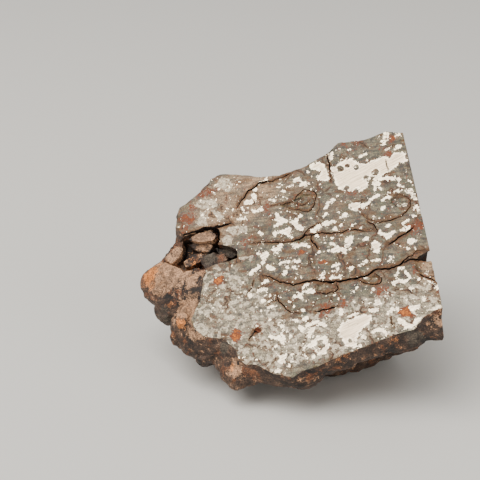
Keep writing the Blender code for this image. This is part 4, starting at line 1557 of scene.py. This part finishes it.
@dataclass
class Wiring:
    """Adds nodes to one shader tree, and links them."""

    tree: bpy.types.NodeTree

    def node(self, kind: str, given: Given | None = None, **settings: object) -> bpy.types.Node:
        """Adds a node.

        Args:
            kind: Its type.
            given: What goes into its inputs, by their names or numbers.
            **settings: Its settings, by name.

        Returns:
            The node.
        """
        made = self.tree.nodes.new(kind)
        for name, value in settings.items():
            setattr(made, name, value)
        for key, value in (given or {}).items():
            self.feed(made.inputs[key], value)
        return made

    def feed(self, socket: Socket, value: Value) -> None:
        """Links an output to the socket, or sets the socket itself.

        Args:
            socket: An input.
            value: An output, a number, a vector or a colour.
        """
        if isinstance(value, bpy.types.NodeSocket):
            self.tree.links.new(value, socket)
        elif isinstance(value, tuple) and len(socket.default_value) == 4:
            socket.default_value = (*value, 1.0)
        else:
            socket.default_value = value

    def maths(self, operation: str, first: Value, second: Value) -> Socket:
        """The result of a Math node."""
        return self.node("ShaderNodeMath", {0: first, 1: second}, operation=operation).outputs[0]

    def times(self, first: Value, second: Value) -> Socket:
        """The product of two numbers."""
        return self.maths("MULTIPLY", first, second)

    def plus(self, first: Value, second: Value) -> Socket:
        """The sum of two numbers."""
        return self.maths("ADD", first, second)

    def less(self, first: Value, second: Value) -> Socket:
        """The first number less the second."""
        return self.maths("SUBTRACT", first, second)

    def most(self, first: Value, second: Value) -> Socket:
        """The greater of two numbers."""
        return self.maths("MAXIMUM", first, second)

    def stray(self, value: Value, noise: Value, reach: float) -> Socket:
        """The value, moved by up to half the reach either way as the noise says."""
        return self.plus(value, self.times(self.less(noise, 0.5), reach))

    def scaled(self, colour: Socket, value: Value) -> Socket:
        """A colour made lighter or darker by a factor."""
        given = {0: colour, "Scale": value}
        return self.node("ShaderNodeVectorMath", given, operation="SCALE").outputs[0]

    def step(self, value: Value, low: float, high: float, falling: bool = False) -> Socket:
        """A smooth step from 0 at low to 1 at high, or from 1 to 0 where it is falling."""
        given = dict(enumerate((value, low, high, float(falling), float(not falling))))
        return self.node("ShaderNodeMapRange", given, interpolation_type="SMOOTHSTEP").outputs[0]

    def blend(self, share: Value, first: Value, second: Value) -> Socket:
        """Two colours blended by a share of the second."""
        given = {"Factor": share, 6: first, 7: second}
        return self.node("ShaderNodeMix", given, data_type="RGBA").outputs[2]

    def lerp(self, share: Value, first: Value, second: Value) -> Socket:
        """Two numbers blended by a share of the second."""
        given = {0: share, 2: first, 3: second}
        return self.node("ShaderNodeMix", given, data_type="FLOAT").outputs[0]

    def placed(
        self,
        place: Socket,
        scale: tuple[float, float, float] = (1.0, 1.0, 1.0),
        turn: float = 0.0,
        shift: float = 0.0,
    ) -> Socket:
        """The place shifted, then read along turned axes, then scaled.

        Args:
            place: The place.
            scale: How much closer together a pattern comes along each axis.
            turn: The axes' turn about w, in radians.
            shift: How far a pattern moves, in millimetres.

        Returns:
            The new place.
        """
        given = {
            "Vector": place,
            "Rotation": (0.0, 0.0, turn),
            "Scale": tuple(1.0 / share for share in scale),
            "Location": (-shift, 0.7 * shift, -0.4 * shift),
        }
        return self.node("ShaderNodeMapping", given, vector_type="TEXTURE").outputs[0]

    def noise(
        self, place: Socket, scale: float, detail: float = 2.0, roughness: float = 0.5
    ) -> Socket:
        """Noise from 0 to 1: the scale is its number of features in a millimetre."""
        given = {"Vector": place, "Scale": scale, "Detail": detail, "Roughness": roughness}
        return self.node("ShaderNodeTexNoise", given).outputs[0]

    def warped(self, place: Socket, scale: float, reach: float) -> Socket:
        """The place moved by noise: the noise's colour times the reach is added to it.

        Args:
            place: The place.
            scale: The noise's number of features in a millimetre.
            reach: How far the place moves at most, in millimetres.

        Returns:
            The new place.
        """
        given = {"Vector": place, "Scale": scale, "Detail": 1.0}
        noise = self.node("ShaderNodeTexNoise", given).outputs[1]
        given = {0: noise, 1: (reach, reach, reach), 2: place}
        return self.node("ShaderNodeVectorMath", given, operation="MULTIPLY_ADD").outputs[0]

    def cells(self, place: Socket, scale: float, feature: str = "F1") -> tuple[Socket, Socket]:
        """Scattered cells, each with a number of its own.

        Args:
            place: The place.
            scale: The number of cells in a millimetre.
            feature: What is measured: F1 is the nearest middle, DISTANCE_TO_EDGE the edge.

        Returns:
            The distance, in cell sizes, and the cell's number, or the distance for both.
        """
        given = {"Vector": place, "Scale": scale}
        made = self.node("ShaderNodeTexVoronoi", given, feature=feature)
        distance = made.outputs["Distance"]
        if feature == "DISTANCE_TO_EDGE":
            return distance, distance
        split = self.node("ShaderNodeSeparateColor", {0: made.outputs["Color"]})
        return distance, split.outputs[0]

    def attribute(self, name: str) -> Socket:
        """A marking stored on the mesh."""
        made = self.node("ShaderNodeAttribute", attribute_name=name)
        return made.outputs["Vector" if name == "face_place" else "Fac"]


@dataclass(frozen=True)
class Effect:
    """A shader node group: its named inputs and outputs, and what lies between them."""

    name: str
    inputs: Sockets
    outputs: Sockets

    def group(self) -> bpy.types.NodeTree:
        """Makes the effect's node group when it is first asked for.

        Returns:
            The group.
        """
        if self.name in bpy.data.node_groups:
            return bpy.data.node_groups[self.name]
        tree = bpy.data.node_groups.new(self.name, "ShaderNodeTree")
        for name, kind in self.inputs:
            tree.interface.new_socket(name, in_out="INPUT", socket_type=f"NodeSocket{kind}")
        for name, kind in self.outputs:
            tree.interface.new_socket(name, in_out="OUTPUT", socket_type=f"NodeSocket{kind}")
        wiring = Wiring(tree)
        entry, leave = wiring.node("NodeGroupInput"), wiring.node("NodeGroupOutput")
        results = self.wire(wiring, {name: entry.outputs[name] for name, _ in self.inputs})
        for name, _ in self.outputs:
            wiring.feed(leave.inputs[name], results[name])
        return tree

    def wire(self, wiring: Wiring, given: dict[str, Socket]) -> dict[str, Socket]:
        """What the group does with its inputs: each kind of effect says its own.

        Args:
            wiring: The group's tree.
            given: The inputs by name.

        Returns:
            The outputs by name.
        """
        raise NotImplementedError

    def use(self, wiring: Wiring, **given: Value) -> dict[str, Socket]:
        """Adds the effect to a tree.

        Args:
            wiring: The tree that uses it.
            **given: What goes into its inputs, by name.

        Returns:
            Its outputs by name.
        """
        node = wiring.node("ShaderNodeGroup", given, node_tree=self.group())
        return {name: node.outputs[name] for name, _ in self.outputs}


@dataclass(frozen=True)
class StoneMatrix(Effect):
    """The grey silicate matrix: mottled, layered and speckled; paler below, partly painted sheen.
    """

    name: str = "stone_matrix"
    inputs: Sockets = (
        ("Place", "Vector"), ("Haze", "Float"), ("Blush", "Float"),
    )
    outputs: Sockets = (("Color", "Color"), ("Height", "Float"))
    dark: Colour = (0.030, 0.022, 0.012)
    grey: Colour = (0.150, 0.121, 0.068)
    green: Colour = (0.083, 0.081, 0.040)
    brown: Colour = (0.146, 0.080, 0.030)
    pale: Colour = (0.310, 0.262, 0.172)
    hazy_sheen: Colour = (0.330, 0.272, 0.182)
    # The lower face's paler tint: the matrix's own speckled tone together with a painted sheen.
    blush: Colour = (0.380, 0.235, 0.125)
    layer_turn: float = math.radians(16.0)

    def wire(self, wiring: Wiring, given: dict[str, Socket]) -> dict[str, Socket]:
        """Layers the tones from broad to fine.

        Args:
            wiring: The group's tree.
            given: The inputs by name.

        Returns:
            The outputs by name.
        """
        place = given["Place"]
        broad = wiring.noise(place, 0.30, 4.0, 0.6)
        mottle = wiring.noise(wiring.placed(place, shift=13.0), 0.75, 5.0, 0.65)
        layered = wiring.placed(place, (0.30, 1.9, 0.8), self.layer_turn)
        layers = wiring.noise(layered, 1.0, 4.0, 0.6)
        fine = wiring.noise(place, 3.6, 3.0, 0.6)
        colour = wiring.blend(wiring.step(mottle, 0.40, 0.58), self.dark, self.grey)
        greening = wiring.times(wiring.step(broad, 0.50, 0.62), 0.75)
        colour = wiring.blend(greening, colour, self.green)
        brownish = wiring.noise(wiring.placed(place, shift=31.0), 0.36, 4.0)
        browning = wiring.times(wiring.step(brownish, 0.50, 0.66), 0.7)
        colour = wiring.blend(browning, colour, self.brown)
        distance, number = wiring.cells(wiring.warped(place, 0.9, 0.9), 0.75)
        chosen = wiring.step(number, 0.66, 0.72)
        clast = wiring.times(chosen, wiring.step(distance, 0.22, 0.36, falling=True))
        colour = wiring.blend(wiring.times(clast, 0.55), colour, self.pale)
        # Painted sheen, with the matrix's own paler tone, over the lower face.
        hazy_sheen = wiring.times(given["Haze"], wiring.step(mottle, 0.25, 0.58))
        colour = wiring.blend(wiring.times(hazy_sheen, 0.85), colour, self.hazy_sheen)
        blushing = wiring.times(given["Blush"], wiring.step(broad, 0.30, 0.55))
        colour = wiring.blend(wiring.times(blushing, 0.8), colour, self.blush)
        shade = wiring.lerp(wiring.step(layers, 0.38, 0.60), 0.58, 1.32)
        speckle = wiring.lerp(wiring.step(fine, 0.38, 0.62), 0.52, 1.50)
        colour = wiring.scaled(colour, wiring.times(shade, speckle))
        height = wiring.plus(wiring.times(fine, 0.4), wiring.times(layers, 0.6))
        return {"Color": colour, "Height": height}


@dataclass(frozen=True)
class MetalGrains(Effect):
    """Which places are metal: the drawn grains with ragged edges, and loose ones between."""

    name: str = "metal_grains"
    inputs: Sockets = (
        ("Place", "Vector"), ("Edge", "Float"), ("Haze", "Float"), ("Loose", "Float"),
    )
    outputs: Sockets = (("Metal", "Float"), ("Lace", "Float"))

    def wire(self, wiring: Wiring, given: dict[str, Socket]) -> dict[str, Socket]:
        """A loose grain fills its cell up to a radius that the cell's own number gives.

        Args:
            wiring: The group's tree.
            given: The inputs by name.

        Returns:
            The outputs by name.
        """
        place = given["Place"]
        edge = wiring.stray(given["Edge"], wiring.noise(place, 0.85, 2.0, 0.6), 1.9)
        edge = wiring.plus(wiring.stray(edge, wiring.noise(place, 3.0, 2.0, 0.6), 0.95), 0.13)
        grains = wiring.step(edge, -0.05, 0.05, falling=True)
        patchy = wiring.step(wiring.noise(wiring.placed(place, shift=7.0), 0.22, 1.0), 0.42, 0.60)
        bent = wiring.warped(place, 1.9, 1.1)
        for scale, most, rare in ((0.95, 0.36, 0.55), (1.9, 0.34, 0.58)):
            distance, number = wiring.cells(bent, scale)
            radius = wiring.times(wiring.step(number, rare, 1.0), most)
            radius = wiring.times(radius, given["Loose"])
            radius = wiring.times(radius, wiring.lerp(patchy, 0.55, 1.0))
            grain = wiring.step(wiring.less(distance, radius), -0.03, 0.03, falling=True)
            grains = wiring.most(grains, wiring.times(grain, wiring.step(radius, 0.02, 0.06)))
        web = wiring.noise(wiring.placed(place, shift=19.0), 0.95, 3.0, 0.55)
        lace = wiring.times(wiring.step(web, 0.535, 0.565), wiring.step(given["Haze"], 0.05, 0.55))
        return {"Metal": grains, "Lace": lace}


@dataclass(frozen=True)
class RustStain(Effect):
    """Rust on a cut face: stains beside the cracks, hair cracks, and orange spots."""

    name: str = "rust_stain"
    inputs: Sockets = (
        ("Place", "Vector"), ("Color", "Color"), ("Crack", "Float"), ("Rust", "Float"),
    )
    outputs: Sockets = (
        ("Color", "Color"), ("Spot", "Float"), ("Dark", "Float"), ("Stain", "Float"),
    )
    stain: Colour = (0.105, 0.038, 0.014)
    ochre: Colour = (0.175, 0.084, 0.030)
    red: Colour = (0.175, 0.045, 0.016)
    orange: Colour = (0.640, 0.185, 0.028)
    dark: Colour = (0.022, 0.013, 0.009)
    drift_turn: float = math.radians(12.0)

    def wire(self, wiring: Wiring, given: dict[str, Socket]) -> dict[str, Socket]:
        """Lays the stains over the given colour, then the dark lines, then the spots.

        Args:
            wiring: The group's tree.
            given: The inputs by name.

        Returns:
            The outputs by name.
        """
        place = given["Place"]
        rough = wiring.noise(place, 0.85, 4.0, 0.6)
        fine = wiring.noise(place, 2.8, 3.0, 0.6)
        reach = wiring.stray(given["Crack"], rough, 2.2)
        near = wiring.step(reach, 0.15, 1.25, falling=True)
        drifting = wiring.placed(place, (0.5, 1.5, 1.0), self.drift_turn, 41.0)
        drift = wiring.step(wiring.noise(drifting, 0.5, 4.0), 0.54, 0.68)
        hair, _ = wiring.cells(wiring.warped(place, 0.55, 2.2), 0.20, "DISTANCE_TO_EDGE")
        gate = wiring.step(wiring.noise(wiring.placed(place, shift=23.0), 0.20, 2.0), 0.46, 0.56)
        line = wiring.times(wiring.step(hair, 0.006, 0.022, falling=True), gate)
        fringe = wiring.step(wiring.stray(hair, fine, 0.06), 0.0, 0.09, falling=True)
        fringe = wiring.times(fringe, gate)
        tint = wiring.blend(wiring.step(fine, 0.40, 0.62), self.stain, self.ochre)
        stained = wiring.most(wiring.times(near, 0.85), wiring.times(drift, 0.6))
        stained = wiring.most(stained, wiring.times(fringe, 0.75))
        colour = wiring.blend(stained, given["Color"], tint)
        beside = wiring.step(wiring.stray(given["Crack"], fine, 1.6), 0.0, 0.36, falling=True)
        shadow = wiring.times(beside, 0.70)
        lines = wiring.most(shadow, wiring.times(line, 0.9))
        colour = wiring.blend(lines, colour, self.dark)
        rusty = wiring.stray(wiring.stray(given["Rust"], fine, 2.1), rough, 1.5)
        colour = wiring.blend(wiring.step(rusty, 0.12, 0.50), colour, self.red)
        colour = wiring.blend(wiring.step(rusty, 0.62, 1.30), colour, self.orange)
        spot = wiring.step(rusty, 0.35, 0.60)
        return {"Color": colour, "Spot": spot, "Dark": shadow, "Stain": stained}


@dataclass(frozen=True)
class CrustRind(Effect):
    """The weathered crust: painted shade in its creases, lighter crowns of dust and painted
    highlight, tan and rusty in places.
    """

    name: str = "crust_rind"
    inputs: Sockets = (
        ("Place", "Vector"), ("Crown", "Float"), ("Tan", "Float"), ("Orange", "Float"),
        ("Grey", "Float"),
    )
    outputs: Sockets = (("Color", "Color"), ("Height", "Float"))
    # deep is the painted shade in the creases; light is the crowns' dust and painted highlight.
    deep: Colour = (0.010, 0.006, 0.005)
    brown: Colour = (0.056, 0.030, 0.019)
    light: Colour = (0.150, 0.088, 0.056)
    rust: Colour = (0.190, 0.066, 0.024)
    tan: Colour = (0.380, 0.212, 0.118)
    orange: Colour = (0.620, 0.210, 0.050)
    grey: Colour = (0.066, 0.050, 0.036)

    def wire(self, wiring: Wiring, given: dict[str, Socket]) -> dict[str, Socket]:
        """Layers the tones from broad to fine.

        Args:
            wiring: The group's tree.
            given: The inputs by name.

        Returns:
            The outputs by name.
        """
        place = given["Place"]
        broad = wiring.noise(place, 0.26, 4.0, 0.6)
        mottle = wiring.noise(wiring.placed(place, shift=17.0), 0.8, 5.0, 0.65)
        plates = wiring.noise(wiring.placed(place, (0.5, 0.5, 2.2)), 0.9, 4.0, 0.6)
        fine = wiring.noise(place, 4.2, 3.0, 0.6)
        # Painted shade: the crust is near black where it lies low between its lumps.
        raised = wiring.stray(given["Crown"], mottle, 1.1)
        colour = wiring.blend(wiring.step(raised, 0.40, 0.75), self.deep, self.brown)
        # Dust and painted highlight: the highest crowns are lighter, in broad patches.
        lit = wiring.times(wiring.step(raised, 0.62, 0.95), wiring.step(broad, 0.40, 0.60))
        colour = wiring.blend(wiring.times(lit, 0.8), colour, self.light)
        rusty = wiring.noise(wiring.placed(place, shift=29.0), 0.34, 5.0, 0.7)
        rusting = wiring.times(wiring.step(rusty, 0.53, 0.64), 0.75)
        colour = wiring.blend(rusting, colour, self.rust)
        tanned = wiring.stray(wiring.stray(given["Tan"], mottle, 2.6), fine, 1.0)
        colour = wiring.blend(wiring.step(tanned, 0.20, 0.62), colour, self.tan)
        # Orange rust, which also stands in for painted highlights on some edges.
        orange_rust_and_highlight = wiring.stray(wiring.stray(given["Orange"], mottle, 2.2), fine, 1.2)
        colour = wiring.blend(wiring.step(orange_rust_and_highlight, 0.30, 0.90), colour, self.orange)
        greyed = wiring.step(wiring.stray(given["Grey"], mottle, 2.0), 0.35, 0.75)
        colour = wiring.blend(greyed, colour, self.grey)
        # More painted shade: the creases darken further.
        crease = wiring.step(wiring.stray(given["Crown"], fine, 0.25), 0.18, 0.46, falling=True)
        colour = wiring.blend(wiring.times(crease, 0.75), colour, self.deep)
        speckle = wiring.lerp(wiring.step(fine, 0.38, 0.62), 0.45, 1.50)
        shade = wiring.lerp(wiring.step(plates, 0.38, 0.60), 0.55, 1.30)
        colour = wiring.scaled(colour, wiring.times(speckle, shade))
        height = wiring.plus(wiring.times(fine, 0.45), wiring.times(plates, 0.8))
        return {"Color": colour, "Height": height}


@dataclass(frozen=True)
class StoneFinish:
    """A material of the stone: what every one of them shares."""

    name: str

    def material(self) -> bpy.types.Material:
        """Makes the material.

        Returns:
            The material, with its shader fed by the finish's own nodes.
        """
        made = bpy.data.materials.new(self.name)
        made.use_nodes = True
        self.dress(Wiring(made.node_tree), made.node_tree.nodes["Principled BSDF"])
        return made

    def dress(self, wiring: Wiring, shader: bpy.types.Node) -> None:
        """Feeds the shader: each finish says how.

        Args:
            wiring: The material's tree.
            shader: Its Principled shader.
        """
        raise NotImplementedError

    def bump(self, wiring: Wiring, shader: bpy.types.Node, height: Value, tall: float) -> None:
        """Feeds the shader's normal from a height.

        Args:
            wiring: The material's tree.
            shader: Its Principled shader.
            height: The height, from 0 to about 1.
            tall: What a height of 1 stands for, in millimetres.
        """
        given = {"Strength": 1.0, "Distance": tall * MM, "Height": height}
        wiring.feed(shader.inputs["Normal"], wiring.node("ShaderNodeBump", given).outputs[0])


@dataclass(frozen=True)
class CutFace(StoneFinish):
    """A cut face: matrix with metal grains, stained by rust; polished, or as the saw left it."""

    metal: Colour = (0.84, 0.72, 0.55)
    core: Colour = (0.60, 0.48, 0.34)  # the metal's colour in the middle of a nodule
    dull: Colour = (0.50, 0.41, 0.29)
    matrix_roughness: float = 0.52
    metal_roughness: float = 0.36
    loose: float = 1.0
    drawn: bool = True  # whether the markings read off the photo are on it
    wear: float = 0.60  # how bright the metal's duller streaks are
    grooves: float = 0.25
    groove_turn: float = math.radians(38.0)
    relief: float = 0.05  # millimetres

    def dress(self, wiring: Wiring, shader: bpy.types.Node) -> None:
        """Feeds the colour, the metal, the roughness and the fine relief.

        Args:
            wiring: The material's tree.
            shader: Its Principled shader.
        """
        place = wiring.attribute("face_place")
        absent = {
            "haze": 0.0,
            "blush": 0.0,
            "metal_edge": 2.0,
            "pale_edge": 2.0,
            "crack_reach": 5.0,
            "face_rust": 0.0,
        }
        marks = {
            name: wiring.attribute(name) if self.drawn else value for name, value in absent.items()
        }
        matrix = StoneMatrix().use(wiring, Place=place, Haze=marks["haze"], Blush=marks["blush"])
        grains = MetalGrains().use(
            wiring, Place=place, Edge=marks["metal_edge"], Haze=marks["haze"], Loose=self.loose
        )
        rust = RustStain().use(
            wiring,
            Place=place,
            Color=matrix["Color"],
            Crack=marks["crack_reach"],
            Rust=marks["face_rust"],
        )
        fine = wiring.noise(place, 2.4, 3.0)
        pale = wiring.stray(marks["pale_edge"], wiring.noise(place, 0.9, 3.0), 1.6)
        broken = wiring.noise(wiring.placed(place, shift=9.0), 1.3, 4.0, 0.65)
        broken = wiring.step(broken, 0.36, 0.50)
        patches = wiring.times(wiring.step(pale, 0.0, 0.22, falling=True), broken)
        clean = wiring.less(1.0, wiring.most(rust["Dark"], rust["Spot"]))
        paleness = wiring.times(wiring.most(patches, grains["Lace"]), clean)
        pale_colour = wiring.blend(wiring.step(fine, 0.42, 0.62), self.dull, self.metal)
        colour = wiring.blend(wiring.times(paleness, 0.93), rust["Color"], pale_colour)
        metal = wiring.times(grains["Metal"], clean)
        grooved = wiring.placed(place, (0.22, 4.2, 1.0), self.groove_turn)
        streaks = wiring.noise(grooved, 1.0, 3.0, 0.6)
        inner = wiring.step(marks["metal_edge"], -0.75, -0.20, falling=True)
        clear_metal = wiring.blend(inner, self.metal, self.core)
        worn_metal = wiring.scaled(clear_metal, self.wear)
        patchy = wiring.times(wiring.step(streaks, 0.40, 0.58), wiring.lerp(fine, 0.75, 1.15))
        bright = wiring.blend(patchy, worn_metal, clear_metal)
        colour = wiring.blend(metal, colour, bright)
        wiring.feed(shader.inputs["Base Color"], colour)
        wiring.feed(shader.inputs["Metallic"], metal)
        roughness = wiring.lerp(metal, self.matrix_roughness, self.metal_roughness)
        worn = wiring.times(wiring.most(rust["Stain"], rust["Spot"]), 0.28)
        roughness = wiring.plus(roughness, wiring.times(worn, wiring.less(1.0, metal)))
        roughness = wiring.stray(roughness, fine, 0.16)
        wiring.feed(shader.inputs["Roughness"], roughness)
        height = wiring.less(1.0, metal)
        height = wiring.times(wiring.times(height, matrix["Height"]), 0.7)
        height = wiring.plus(height, wiring.times(streaks, self.grooves))
        height = wiring.less(height, rust["Dark"])
        height = wiring.plus(height, wiring.times(metal, 0.5))
        self.bump(wiring, shader, height, self.relief)


@dataclass(frozen=True)
class Crust(StoneFinish):
    """The weathered crust."""

    roughness: float = 0.68
    relief: float = 0.22  # millimetres

    def dress(self, wiring: Wiring, shader: bpy.types.Node) -> None:
        """Feeds the colour, the roughness and the fine relief.

        Args:
            wiring: The material's tree.
            shader: Its Principled shader.
        """
        markings = ("crown", *CRUST_SPOTS)
        given = {name.capitalize(): wiring.attribute(name) for name in markings}
        place = wiring.attribute("face_place")
        rind = CrustRind().use(wiring, Place=place, **given)
        wiring.feed(shader.inputs["Base Color"], rind["Color"])
        fine = wiring.noise(place, 1.9, 4.0, 0.6)
        wiring.feed(shader.inputs["Roughness"], wiring.stray(self.roughness, fine, 0.30))
        self.bump(wiring, shader, rind["Height"], self.relief)


@dataclass(frozen=True)
class OpenCrack(StoneFinish):
    """The walls of a crack: nearly black as painted shade, with patches of rust."""

    # dark is the painted shade inside the crack; the rust patches are real.
    dark: Colour = (0.014, 0.009, 0.007)
    rust: Colour = (0.085, 0.034, 0.016)
    roughness: float = 0.8
    relief: float = 0.15  # millimetres

    def dress(self, wiring: Wiring, shader: bpy.types.Node) -> None:
        """Feeds the colour and the fine relief.

        Args:
            wiring: The material's tree.
            shader: Its Principled shader.
        """
        place = wiring.attribute("face_place")
        patch = wiring.noise(place, 1.4, 4.0, 0.6)
        colour = wiring.blend(wiring.step(patch, 0.5, 0.68), self.dark, self.rust)
        wiring.feed(shader.inputs["Base Color"], colour)
        shader.inputs["Roughness"].default_value = self.roughness
        self.bump(wiring, shader, patch, self.relief)


@dataclass
class Stone:
    """The whole stone: its body, what grows on it, what is cut from it, and its finishes."""

    placement: Placement
    camera: PhotoCamera
    materials: list[bpy.types.Material]
    crease: float = math.radians(38.0)  # an edge that bends further than this is sharp

    def tools(self) -> list[tuple[str, Shell, Joining]]:
        """What is joined to the body and cut from it, in order.

        Returns:
            Each tool's name, closed mesh and use.
        """
        listed = [(name, chunk.build(), chunk.joining) for name, chunk in BOULDERS.items()]
        listed.append(("hollow", HollowCutter().build(), Joining.CUT))
        for name, shard in SHARDS.items():
            listed.append((name, shard.build(self.camera), Joining.GROWN))
        listed.append(("saw", saw_cutter(), Joining.CUT))
        listed.append(("edge_notch", EDGE_NOTCH.build(), EDGE_NOTCH.joining))
        for seed, (name, crack) in enumerate(CRACKS.items()):
            cutter = CrackCutter(crack, seed).build(self.camera)
            listed.append((f"crack_{name}", cutter, Joining.CUT))
        listed.append(("ground", ground_cutter(self.placement), Joining.CUT))
        return listed

    def carved(self) -> bpy.types.Mesh:
        """Joins and cuts the body with every tool.

        Returns:
            The carved mesh, in face coordinates.
        """
        home = bpy.context.scene.collection
        body = StoneBody().build(self.camera).mesh("stone_body", self.materials)
        stone = bpy.data.objects.new("stone_body", body)
        home.objects.link(stone)
        helpers = []
        for name, shell, joining in self.tools():
            tool = bpy.data.objects.new(name, shell.mesh(name, self.materials))
            home.objects.link(tool)
            helpers.append(tool)
            modifier = stone.modifiers.new(name, "BOOLEAN")
            modifier.object = tool
            modifier.operation = joining.value
            modifier.solver = "MANIFOLD"
        graph = bpy.context.evaluated_depsgraph_get()
        carved = bpy.data.meshes.new_from_object(stone.evaluated_get(graph))
        for thing in (stone, *helpers):
            spent = thing.data
            bpy.data.objects.remove(thing)
            bpy.data.meshes.remove(spent)
        return carved

    def build(self) -> bpy.types.Object:
        """Makes the stone's one piece, and places it.

        Returns:
            The finished object.
        """
        mesh = self.carved()
        mesh.name = "meteorite_stone"
        points = read_vectors(mesh, "co")
        ground = self.placement.to_model(points)[:, 2]
        points = CrustRelief().apply(mesh, points, ground)
        Markings(self.camera).write(mesh, points)
        placed = self.placement.to_model(points) * MM
        low, high = np.asarray(CAD_BOX[0]), np.asarray(CAD_BOX[1])
        mesh.vertices.foreach_set("co", np.clip(placed, low, high).ravel())
        mesh.update()
        mesh.shade_smooth()
        mesh.set_sharp_from_angle(angle=self.crease)
        stone = bpy.data.objects.new("meteorite_stone", mesh)
        bpy.context.scene.collection.objects.link(stone)
        triangles = sum(len(face.vertices) - 2 for face in mesh.polygons)
        log.info("meteorite_stone: %d points, %d triangles", len(mesh.vertices), triangles)
        return stone


@dataclass(frozen=True)
class StudioFloor(StoneFinish):
    """The pale plain floor."""

    colour: Colour = (0.72, 0.71, 0.69)
    roughness: float = 0.6

    def dress(self, wiring: Wiring, shader: bpy.types.Node) -> None:
        """Sets the floor's one colour."""
        shader.inputs["Base Color"].default_value = (*self.colour, 1.0)
        shader.inputs["Roughness"].default_value = self.roughness


@dataclass(frozen=True)
class Studio:
    """A pale floor, a large soft light that the polished face mirrors, and a pale room."""

    placement: Placement
    floor_size: float = 6.0
    light_colour: Colour = (1.0, 0.965, 0.90)
    light_size: float = 0.8
    room_colour: Colour = (0.83, 0.81, 0.77)
    room_strength: float = 0.55

    def build(self) -> None:
        """Adds the floor, the lights and the room's light."""
        half = self.floor_size / 2
        corners = [(-half, -half, 0.0), (half, -half, 0.0), (half, half, 0.0), (-half, half, 0.0)]
        mesh = bpy.data.meshes.new("floor")
        mesh.from_pydata(corners, [], [(0, 1, 2, 3)])
        mesh.materials.append(StudioFloor("floor_pale").material())
        floor = bpy.data.objects.new("floor", mesh)
        bpy.context.scene.collection.objects.link(floor)
        self.area("softbox", np.array((-0.40, -0.303, 0.865)), distance=0.9, power=12.5)
        self.area("fill", np.array((0.75, -0.55, 0.40)), distance=1.2, power=3.0)
        world = bpy.data.worlds.new("room")
        world.use_nodes = True
        backdrop = world.node_tree.nodes["Background"]
        backdrop.inputs["Color"].default_value = (*self.room_colour, 1.0)
        backdrop.inputs["Strength"].default_value = self.room_strength
        bpy.context.scene.world = world

    def area(self, name: str, direction: Array, distance: float, power: float) -> None:
        """Adds a soft light that looks at the middle of the face.

        Args:
            name: The light's name.
            direction: From the face to the light.
            distance: How far away it is, in metres.
            power: Its power, in watts.
        """
        data = bpy.data.lights.new(name, "AREA")
        data.energy = power
        data.size = self.light_size
        data.color = self.light_colour
        light = bpy.data.objects.new(name, data)
        out = Vector(direction).normalized()
        light.location = Vector(self.placement.middle * MM) + out * distance
        light.rotation_euler = out.to_track_quat("Z", "Y").to_euler()
        bpy.context.scene.collection.objects.link(light)


def main() -> None:
    """Builds the stone, the camera and the studio."""
    logging.basicConfig(level=logging.INFO, format="%(name)s: %(message)s")
    placement = Placement.on_node(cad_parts[NODE])
    camera = PhotoCamera()
    materials = [
        CutFace("polished_face").material(),
        CutFace(
            "sawn_side", drawn=False, matrix_roughness=0.62, metal_roughness=0.48, grooves=0.9
        ).material(),
        Crust("rusty_crust").material(),
        OpenCrack("open_crack").material(),
    ]
    stone = Stone(placement, camera, materials).build()
    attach(stone, "root")
    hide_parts(NODE)
    camera.build(placement)
    Studio(placement).build()


if __name__ == "__main__":
    main()
